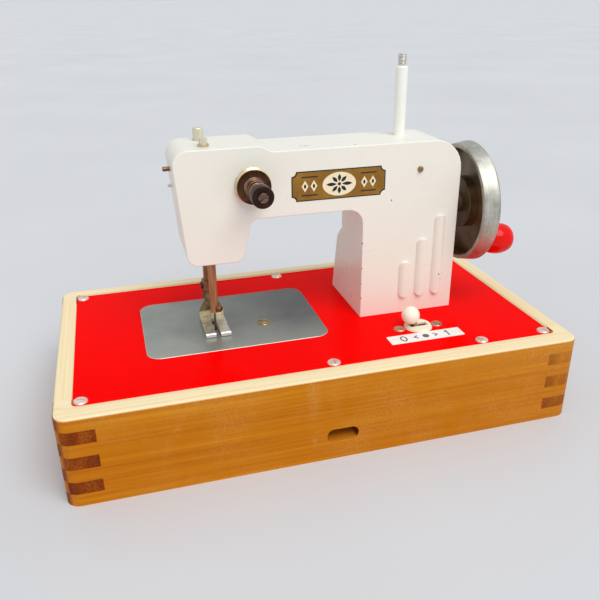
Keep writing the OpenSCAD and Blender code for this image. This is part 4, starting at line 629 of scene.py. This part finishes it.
def prism(mesh, outline, layer, plane, hole=None):
    """A flat piece on a plane (origin, right, up): its outline in millimetres, raised over a layer
    (low, high). A hole has as many points as the outline."""
    origin, right, up = plane
    out = right.cross(up)
    loops = [[[mesh.verts.new((Vector(origin) + right * u + up * v + out * h) * MM) for u, v in loop]
              for h in layer] for loop in ([outline, hole] if hole else [outline])]
    made = []
    count = len(outline)
    for k in range(count):
        n = (k + 1) % count
        for bottom, top in loops:
            made.append(mesh.faces.new((bottom[k], bottom[n], top[n], top[k])))
        if hole:
            for outer, inner in zip(*loops):
                made.append(mesh.faces.new((outer[k], outer[n], inner[n], inner[k])))
    if not hole:
        made.extend(mesh.faces.new(end) for end in loops[0])
    bmesh.ops.recalc_face_normals(mesh, faces=made)


def carve(mesh, cutter):
    """The mesh with the cutter's shape taken out of it."""
    solids = []
    for shape in (mesh, cutter):
        data = bpy.data.meshes.new("carving")
        shape.to_mesh(data)
        shape.free()
        solids.append(bpy.data.objects.new("carving", data))
        bpy.context.scene.collection.objects.link(solids[-1])
    cut = solids[0].modifiers.new("cut", "BOOLEAN")
    cut.operation, cut.solver, cut.object = "DIFFERENCE", "EXACT", solids[1]
    result = bpy.data.meshes.new_from_object(solids[0].evaluated_get(bpy.context.evaluated_depsgraph_get()))
    carved = bmesh.new()
    carved.from_mesh(result)
    bpy.data.meshes.remove(result)
    for solid in solids:
        data = solid.data
        bpy.data.objects.remove(solid)
        bpy.data.meshes.remove(data)
    return carved


def driver_slot(origin, axis, turn, width, length, layer):
    """The cutter for a screwdriver slot across an axis."""
    cutter = bmesh.new()
    side = Matrix.Rotation(math.radians(turn), 3, axis) @ axis.orthogonal().normalized()
    prism(cutter, rectangle(width, length), layer, (origin, side, axis.cross(side)))
    return cutter


QUADRANTS = ((1, 1), (-1, 1), (-1, -1), (1, -1))


def rectangle(width, height):
    """A rectangle's outline about the middle."""
    return [(u * width / 2, v * height / 2) for u, v in QUADRANTS]


def rounded(width, height, radius, steps=6):
    """A rectangle's outline about the middle, with round corners."""
    points = []
    for corner, (across, along) in enumerate(QUADRANTS):
        for k in range(steps + 1):
            a = math.radians(90 * (corner + k / steps))
            points.append((across * (width / 2 - radius) + radius * math.cos(a),
                           along * (height / 2 - radius) + radius * math.sin(a)))
    return points


def notched(width, height, bite, steps=6):
    """A rectangle's outline about the middle, with hollow round corners."""
    points = []
    for corner, (across, along) in enumerate(QUADRANTS):
        for k in range(steps + 1):
            a = math.radians(90 * (corner + 3 - k / steps))
            points.append((across * width / 2 + bite * math.cos(a), along * height / 2 + bite * math.sin(a)))
    return points


def ellipse(wide, high, middle=(0, 0), steps=48):
    return [(middle[0] + wide * math.cos(a), middle[1] + high * math.sin(a))
            for a in (2 * math.pi * k / steps for k in range(steps))]


def petal(start, end, width, turn, steps=8):
    """A leaf-shaped outline that points away from the middle."""
    c, s = math.cos(math.radians(turn)), math.sin(math.radians(turn))
    edge = [(start + (end - start) * k / steps, width * math.sin(math.pi * k / steps))
            for k in range(steps + 1)]
    points = edge + [(u, -v) for u, v in edge[-2:0:-1]]
    return [(u * c - v * s, u * s + v * c) for u, v in points]


def groups(items, neighbours):
    """The items in groups that hang together."""
    left, found = set(items), []
    while left:
        group, todo = set(), [next(iter(left))]
        while todo:
            item = todo.pop()
            if item not in group:
                group.add(item)
                todo.extend(n for n in neighbours(item) if n in left)
        left -= group
        found.append(group)
    return found


def islands(node):
    """Lowest and highest corner, in millimetres, of each separate body of a node."""
    mesh = copied(node)
    found = []
    for group in groups(mesh.verts, lambda vert: [e.other_vert(vert) for e in vert.link_edges]):
        spots = [v.co / MM for v in group]
        found.append((Vector([min(p[k] for p in spots) for k in range(3)]),
                      Vector([max(p[k] for p in spots) for k in range(3)])))
    mesh.free()
    return sorted(found, key=lambda box: tuple(round(c, 3) for c in box[0]))


def fastener(low, high):
    """Radius, height and foot of a fastener's head on the plate, from its lowest and highest corner."""
    middle = ((low.x + high.x) / 2, (low.y + high.y) / 2, PLATE_TOP)
    return (high.x - low.x) / 2, high.z - PLATE_TOP, middle


# Wooden box
BOARD_EDGE, BOARD_EDGE_STEPS, BOARD_EDGE_ANGLE = 1.5, 4, 40.0
RIM_REACH, RIM_SLACK = 3, 0.05


def outer_rim(edge):
    """True on the outer edge of a board's top."""
    middle = (edge.verts[0].co + edge.verts[1].co) / 2
    inset = min(CAD_BOX[1][0] - abs(middle.x), CAD_BOX[1][1] - abs(middle.y))
    return inset < RIM_REACH * MM and abs(middle.z - BASE_TOP * MM) < RIM_SLACK * MM


for board, finish in (("front_board", "wood_x"), ("rear_board", "wood_x"), ("left_board", "wood_y"),
                      ("right_board", "wood_y")):
    shape = copied(board)
    soften(shape, corner_edges(shape, BOARD_EDGE_ANGLE, outer_rim), BOARD_EDGE, BOARD_EDGE_STEPS)
    finished(board, shape, finish)

# Rigid pieces that keep their solid's shape, with soft corners
dress("top_plate", width=0.35, steps=3)
for node in ("rear_cover", "spool_pin", "needle_clamp_screw", "presser_foot_screw", "presser_lifter",
             "hand_wheel", "wheel_nut", "handle_pin", "handle_knob", "switch_lever", "switch_ball",
             "bearing_bushes", "main_shaft", "body_screws", "bottom_panel", "bottom_panel_screws"):
    dress(node, width=0.3)
dress("needle", width=0.15, finish="dark_steel")
dress("needle_bar", width=0.25, finish="needle_bar_metal")
dress("presser_bar", width=0.2, finish="presser_bar_metal")
dress("bracket_screw", width=0.8, steps=4, finish="tan_screw")
dress("switch_rosette", width=0.6, steps=4)

# Needle plate with its cut edge, bare metal with a painted highlight, and the two thread guides
EDGE_SLOPE = (0.2, 0.95)
shape = copied("needle_plate")
soften(shape, corner_edges(shape), width=0.45, steps=1)
shape.normal_update()
for face in shape.faces:
    face.material_index = int(EDGE_SLOPE[0] < face.normal.z < EDGE_SLOPE[1])
finished("needle_plate", shape, "satin_plate plate_edge")

GUIDES_SPLIT_Z = 137
shape = copied("thread_guides")
soften(shape, corner_edges(shape), width=0.3, steps=3)
for face in shape.faces:
    face.material_index = int(face.calc_center_median().z < GUIDES_SPLIT_Z * MM)
finished("thread_guides", shape, "copper_wire pale_grey_wire")

# Presser foot with round toes
TOE_DEPTH, TOE_HEIGHT = 0.3, 2
foot_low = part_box("presser_foot")[0]


def toe_edge(edge):
    """True on the upper edges at the foot's front."""
    return all(v.co.y < foot_low.y + TOE_DEPTH * MM and v.co.z > foot_low.z + TOE_HEIGHT * MM
               for v in edge.verts)


shape = copied("presser_foot")
soften(shape, corner_edges(shape, pick=toe_edge), width=1.0, steps=4)
soften(shape, corner_edges(shape), width=0.3)
finished("presser_foot", shape, "foot_metal")

# Presser spring, as its solid, with a mesh of its own
low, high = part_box("presser_spring")
spring = finished("presser_spring", copied("presser_spring"))
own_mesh(spring)

# Screws and rivets in the plates: a slot's length is in radii of the head, a rivet's shape in shares of its
# height and radius
HEAD_STEPS, BOW_STEPS, BOW_POWER = 48, 9, 0.6
SLOT_LENGTH = 3
RIVET_SHANK = 1.4
RIVET_SHARES = ((0, 1), (0.35, 0.97), (0.8, 0.84), (1, 0.62), (0.92, 0.5), (0.4, 0.36), (0.3, 0))


def round_heads(node, finish, turns, shank, slot_width, slot_depth):
    """Round screw heads with driver slots, where the node has its screws."""
    shape = bmesh.new()
    for (low, high), turn in zip(islands(node), turns):
        radius, height, foot = fastener(low, high)
        screw = bmesh.new()
        bow = [(height * math.sin(a), radius * math.cos(a) ** BOW_POWER)
               for a in (math.pi / 2 * k / BOW_STEPS for k in range(BOW_STEPS))]
        lathe(screw, [(low.z - PLATE_TOP, shank), (0, shank)] + bow + [(height, 0)], foot, Z, HEAD_STEPS)
        screw = carve(screw, driver_slot(foot, Z, turn, slot_width, SLOT_LENGTH * radius,
                                         (height - slot_depth, height + slot_depth)))
        data = bpy.data.meshes.new(node)
        screw.to_mesh(data)
        screw.free()
        shape.from_mesh(data)
        bpy.data.meshes.remove(data)
    finished(node, shape, finish)


round_heads("top_plate_screws", "plate_screw", (20, 75, 130, 10, 95, 160, 50), shank=1.4, slot_width=0.8,
            slot_depth=0.6)
round_heads("needle_plate_screw", "tan_screw", (28,), shank=2.0, slot_width=1.0, slot_depth=0.5)

shape = bmesh.new()
for low, high in islands("switch_rivets"):
    radius, height, foot = fastener(low, high)
    lathe(shape, [(low.z - PLATE_TOP, 0), (low.z - PLATE_TOP, RIVET_SHANK), (0, RIVET_SHANK)]
          + [(height * h, radius * r) for h, r in RIVET_SHARES], foot, Z, HEAD_STEPS)
finished("switch_rivets", shape)

# Spool rod with its thread cut into the tip
THREAD_TURNS, THREAD_PITCH, THREAD_START, TIP_LENGTH = 6, 0.75, 1.2, 1
GROOVE = ((0, 0.4), (-0.35, -0.3), (-0.6, 0.4))
rod_top = islands("spool_rod")[0][1].z
rod_r = max(math.hypot(v.co.x - SPOOL[0] * MM, v.co.y - SPOOL[1] * MM)
            for v in NODES["spool_rod"].data.vertices if v.co.z > (rod_top - TIP_LENGTH) * MM) / MM
cutter = bmesh.new()
for k in range(THREAD_TURNS):
    start = rod_top - THREAD_START - THREAD_PITCH * k
    lathe(cutter, [(start + d, rod_r + r) for d, r in GROOVE], (*SPOOL, 0), Z, HEAD_STEPS, closed=True)
shape = copied("spool_rod")
soften(shape, corner_edges(shape), width=0.4)
finished("spool_rod", carve(shape, cutter), "pale_grey_wire")

# Thread tension: two dished discs and a washer, each as (distance from the body, radius) points
TENSION_BORE = 2.7
BACK_DISC = ((0.2, 9.5), (0.2, 9.85), (0.6, 9.95), (1.0, 9.7), (1.6, 8.4), (2.2, 6.6), (2.3, TENSION_BORE),
             (1.7, TENSION_BORE), (1.6, 6.3), (1.0, 8.0))
FRONT_DISC = ((2.4, TENSION_BORE), (2.4, 6.3), (2.9, 7.9), (3.5, 8.9), (4.0, 9.25), (4.3, 9.2), (4.2, 8.8),
              (3.5, 7.7), (3.05, 6.2), (3.0, TENSION_BORE))
WASHER_FRONT = 4.9
WASHER = ((3.05, TENSION_BORE), (3.05, 5.2), (3.4, 5.4), (4.4, 5.4), (WASHER_FRONT, 5.0),
          (WASHER_FRONT, TENSION_BORE))
DISC_STEPS, WASHER_STEPS = 96, 72
TENSION_PLACE = (TENSION_X, FRONT_Y, TENSION_Z)
knob_start = FRONT_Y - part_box("tension_knob")[1].y / MM
knob_end = FRONT_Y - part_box("tension_knob")[0].y / MM
shape = bmesh.new()
for paint, (profile, steps) in enumerate(((BACK_DISC, DISC_STEPS), (FRONT_DISC, DISC_STEPS),
                                          (WASHER, WASHER_STEPS))):
    lathe(shape, profile, TENSION_PLACE, -Y, steps, closed=True, paint=paint)
finished("tension_discs", shape, "brass_rim brown_disc knob_flange")

# Tapering spring between the washer and the knob, with its end turns closed
SPRING_CURLS, SPRING_WIRE, SPRING_STEPS = 4.5, 0.5, 36
SPRING_R, SPRING_TAPER = 4.4, 0.9
SPRING_END_SHARE = 0.12
SPRING_BACK_GAP, SPRING_FRONT_GAP = 0.05, 0.1
spring_low = WASHER_FRONT + SPRING_BACK_GAP + SPRING_WIRE
spring_high = knob_start - SPRING_FRONT_GAP - SPRING_WIRE
coil = []
for k in range(int(SPRING_CURLS * SPRING_STEPS) + 1):
    share = k / (SPRING_CURLS * SPRING_STEPS)
    a = 2 * math.pi * SPRING_CURLS * share
    rise = min(max((share - SPRING_END_SHARE) / (1 - 2 * SPRING_END_SHARE), 0), 1)
    radius = SPRING_R - SPRING_TAPER * share
    coil.append(Vector((TENSION_X + radius * math.cos(a),
                        FRONT_Y - spring_low - (spring_high - spring_low) * rise,
                        TENSION_Z + radius * math.sin(a))) * MM)
shape = bmesh.new()
tube(shape, coil, SPRING_WIRE)
finished("tension_spring", shape, "copper_wire")

# Knob with a flange at its back and a dished front
FLANGE_DEPTH = 1.0
FLANGE = ((0, TENSION_BORE), (0, 5.2), (0.15, 5.6), (0.4, 5.7), (0.8, 5.7), (FLANGE_DEPTH, 5.45),
          (FLANGE_DEPTH, TENSION_BORE))
GRIP_BACK = ((0, TENSION_BORE), (0, 5.4), (0.2, 5.7))
GRIP_FRONT = ((-1.2, 5.75), (-0.6, 5.55), (-0.2, 5.1), (-0.3, 4.4), (-0.7, 3.4), (-0.8, TENSION_BORE))
shape = bmesh.new()
lathe(shape, [(knob_start + d, r) for d, r in FLANGE], TENSION_PLACE, -Y, closed=True, paint=1)
lathe(shape, [(knob_start + FLANGE_DEPTH + d, r) for d, r in GRIP_BACK]
      + [(knob_end + d, r) for d, r in GRIP_FRONT], TENSION_PLACE, -Y, closed=True)
finished("tension_knob", shape, "brown_knob knob_flange")

STUD_SLOT_TURN, STUD_SLOT_WIDTH, STUD_SLOT_LENGTH, STUD_SLOT_LAYER = 85, 0.9, 9, (-0.7, 1)
shape = copied("tension_stud")
soften(shape, corner_edges(shape), width=0.6, steps=4)
slot = driver_slot(TENSION_PLACE, -Y, STUD_SLOT_TURN, STUD_SLOT_WIDTH, STUD_SLOT_LENGTH,
                   [knob_end + d for d in STUD_SLOT_LAYER])
finished("tension_stud", carve(shape, slot), "stud_brown")

# Ornament on the arm: a notched gold panel, an oval with a rosette, and lozenges at the sides
PLAQUE = ((19, FRONT_Y, 131.7), X, Z)
PLAQUE_W, PLAQUE_H, PLAQUE_BITE, PLAQUE_BORDER = 54, 16.4, 2.6, 1.2
EDGE_LAYER, PANEL_LAYER, FIELD_LAYER, MOTIF_LAYER = (0, 0.12), (0.02, 0.2), (0.1, 0.27), (0.15, 0.34)
OVAL = (9.6, 6.5)
LOZENGE_W, LOZENGE_H, LOZENGE_PLACES = 3.8, 6.4, (14.5, 19.5)
PETAL_START, PETAL_W, PETAL_ENDS = 1.5, 0.95, (7.6, 5.7, 5.4, 5.7)
PETALS = 8
SEED_STEPS, SEED_R, LOZENGE_SEED = 24, 0.9, (0.65, 1.1)
BAR_X, BAR_LEVELS, BAR_W, BAR_H = 17, (-5.0, 5.0), 9.0, 0.7
shape = bmesh.new()
prism(shape, notched(PLAQUE_W, PLAQUE_H, PLAQUE_BITE), EDGE_LAYER, PLAQUE)
piece("plaque_edge", shape, "base", "black_ink")
shape = bmesh.new()
prism(shape, notched(PLAQUE_W - PLAQUE_BORDER, PLAQUE_H - PLAQUE_BORDER, PLAQUE_BITE), PANEL_LAYER, PLAQUE)
piece("plaque_panel", shape, "base", "gold_leaf")
shape = bmesh.new()
prism(shape, ellipse(*OVAL), FIELD_LAYER, PLAQUE)
for side in (-1, 1):
    for place in LOZENGE_PLACES:
        lozenge = ellipse(LOZENGE_W / 2, LOZENGE_H / 2, (side * place, 0), steps=4)
        prism(shape, lozenge, FIELD_LAYER, PLAQUE)
piece("plaque_fields", shape, "base", "cream_ink")
shape = bmesh.new()
for k in range(PETALS):
    leaf = petal(PETAL_START, PETAL_ENDS[k % len(PETAL_ENDS)], PETAL_W, 360 * k / PETALS)
    prism(shape, leaf, MOTIF_LAYER, PLAQUE)
prism(shape, ellipse(SEED_R, SEED_R, steps=SEED_STEPS), MOTIF_LAYER, PLAQUE)
for side in (-1, 1):
    for place in LOZENGE_PLACES:
        prism(shape, ellipse(*LOZENGE_SEED, (side * place, 0), SEED_STEPS), MOTIF_LAYER, PLAQUE)
    for height in BAR_LEVELS:
        bar = [(side * BAR_X + u, height + v) for u, v in rectangle(BAR_W, BAR_H)]
        prism(shape, bar, FIELD_LAYER, PLAQUE)
piece("plaque_motif", shape, "base", "black_ink")

# Strip in front of the switch with its two positions
STRIP = ((60.35, -46.6, PLATE_TOP), X, Y)
STRIP_W, STRIP_H, STRIP_CORNER = 44.5, 9.2, 0.5
STRIP_LAYER, MARK_LAYER = (0, 0.25), (0.2, 0.36)
ZERO_PLACE, ZERO_OUTER, ZERO_INNER = (-13.5, 0), (2.0, 2.9), (1.25, 2.15)
ONE = ((13.1, -2.9), (13.9, -2.9), (13.9, 2.9), (13.2, 2.9), (12.0, 1.7), (12.0, 1.0), (13.1, 1.7))
ARROW = ((7.6, 0), (5.0, 1.9), (5.0, 1.0), (6.4, 0), (5.0, -1.0), (5.0, -1.9))
DOT_R, DOT_STEPS = 1.9, 32
shape = bmesh.new()
prism(shape, rounded(STRIP_W, STRIP_H, STRIP_CORNER), STRIP_LAYER, STRIP)
piece("switch_strip", shape, "base", "label_white")
shape = bmesh.new()
prism(shape, ellipse(*ZERO_OUTER, ZERO_PLACE), MARK_LAYER, STRIP, ellipse(*ZERO_INNER, ZERO_PLACE))
prism(shape, ONE, MARK_LAYER, STRIP)
prism(shape, ellipse(DOT_R, DOT_R, steps=DOT_STEPS), MARK_LAYER, STRIP)
for side in (-1, 1):
    prism(shape, [(side * u, v) for u, v in ARROW], MARK_LAYER, STRIP)
piece("switch_marks", shape, "base", "label_ink")

# White body, its front edge and the pillar's ribs
FRONT_ANGLE, FRONT_SLACK, FRONT_EDGE, FRONT_EDGE_STEPS = 50.0, 0.03, 3.3, 6
RIB_ANGLE, RIB_PROUD, RIB_EDGE, RIB_EDGE_STEPS = 25.0, 0.4, 1.2, 4
PLATE_SLACK = 0.1


def on_front(edge):
    """True in the plane of the body's front."""
    return all(abs(v.co.y - FRONT_Y * MM) < FRONT_SLACK * MM for v in edge.verts)


def on_rib(edge):
    """True before the body's front, where only the ribs reach."""
    return all(v.co.y < (FRONT_Y - RIB_PROUD) * MM for v in edge.verts)


def front_outline(mesh):
    """The convex edge round the body's front, down to the plate, without the edges of holes and ribs."""
    found = groups(corner_edges(mesh, FRONT_ANGLE, on_front),
                   lambda edge: [n for v in edge.verts for n in v.link_edges])
    longest = max(found, key=lambda group: sum(e.calc_length() for e in group))
    return [e for e in sorted(longest, key=lambda e: e.index)
            if max(v.co.z for v in e.verts) > (PLATE_TOP + PLATE_SLACK) * MM]


shape = copied("body_shell")
shape.edges.index_update()
soften(shape, front_outline(shape), FRONT_EDGE, FRONT_EDGE_STEPS)
soften(shape, corner_edges(shape, RIB_ANGLE, on_rib), RIB_EDGE, RIB_EDGE_STEPS)
finished("body_shell", shape)

# Everything else keeps its solid and takes its finish
for node, thing in NODES.items():
    thing.data.materials.clear()
    thing.data.materials.append(FINISH[SLOT_OF[node]])

# Floor, in metres
FLOOR_SIZE = 80.0
floor_mesh = bmesh.new()
bmesh.ops.create_grid(floor_mesh, x_segments=1, y_segments=1, size=FLOOR_SIZE)
floor_data = bpy.data.meshes.new("floor")
floor_mesh.to_mesh(floor_data)
floor_mesh.free()
floor = bpy.data.objects.new("floor", floor_data)
bpy.context.scene.collection.objects.link(floor)
paper = Paint("floor_paper", specular=0.2)
paper.set("Base Color", paper.tones(paper.noise(3.0, detail=2.0), [(206, 208, 211), (212, 214, 217)]))
paper.gloss(paper.noise(20.0), 0.55, 0.65)
floor_data.materials.append(paper.material)

# Lights
KEY_ENERGY, KEY_ANGLE, KEY_HEADING = 1.9, 44, (-0.2, 0.54, -0.82)
AMBIENT_TONE, AMBIENT_STRENGTH = (0.97, 0.98, 1.0, 1), 0.58
BACKDROP_TONE = rgb(214, 217, 221)
key_data = bpy.data.lights.new("key", "SUN")
key_data.energy = KEY_ENERGY
key_data.angle = math.radians(KEY_ANGLE)
key = bpy.data.objects.new("key", key_data)
key.rotation_euler = Vector(KEY_HEADING).to_track_quat("-Z", "Y").to_euler()
bpy.context.scene.collection.objects.link(key)

world = bpy.data.worlds.new("studio")
world.use_nodes = True
tree = world.node_tree
ambient = tree.nodes["Background"]
ambient.inputs["Color"].default_value = AMBIENT_TONE
ambient.inputs["Strength"].default_value = AMBIENT_STRENGTH
backdrop = tree.nodes.new("ShaderNodeBackground")
backdrop.inputs["Color"].default_value = BACKDROP_TONE
backdrop.inputs["Strength"].default_value = 1.0
rays = tree.nodes.new("ShaderNodeLightPath")
seen = rays.outputs["Is Camera Ray"]
for ray in ("Is Glossy Ray", "Is Transmission Ray"):
    either = tree.nodes.new("ShaderNodeMath")
    either.operation = "MAXIMUM"
    tree.links.new(seen, either.inputs[0])
    tree.links.new(rays.outputs[ray], either.inputs[1])
    seen = either.outputs[0]
choice = tree.nodes.new("ShaderNodeMixShader")
tree.links.new(seen, choice.inputs[0])
tree.links.new(ambient.outputs[0], choice.inputs[1])
tree.links.new(backdrop.outputs[0], choice.inputs[2])
tree.links.new(choice.outputs[0], tree.nodes["World Output"].inputs["Surface"])
bpy.context.scene.world = world
bpy.context.scene.view_settings.view_transform = "Standard"

# Camera at the photo's viewing angle
CAMERA_PLACE = Vector((-0.0987, -0.3499, 0.2245))
AZIMUTH, ELEVATION, ROLL = (math.radians(a) for a in (-15.69, 24.46, -0.61))
LENS, SENSOR, CLIP_START = 39.96, 36.0, 0.01
camera_data = bpy.data.cameras.new("camera")
camera_data.lens = LENS
camera_data.sensor_width = SENSOR
camera_data.clip_start = CLIP_START
camera = bpy.data.objects.new("camera", camera_data)
bpy.context.scene.collection.objects.link(camera)
back = Vector((math.sin(AZIMUTH) * math.cos(ELEVATION), -math.cos(AZIMUTH) * math.cos(ELEVATION),
               math.sin(ELEVATION)))
right = Vector((math.cos(AZIMUTH), math.sin(AZIMUTH), 0))
up = back.cross(right)
tilted_right = right * math.cos(ROLL) + up * math.sin(ROLL)
tilted_up = up * math.cos(ROLL) - right * math.sin(ROLL)
turn = Matrix((tilted_right, tilted_up, back)).transposed()
camera.matrix_world = Matrix.Translation(CAMERA_PLACE) @ turn.to_4x4()
bpy.context.scene.camera = camera
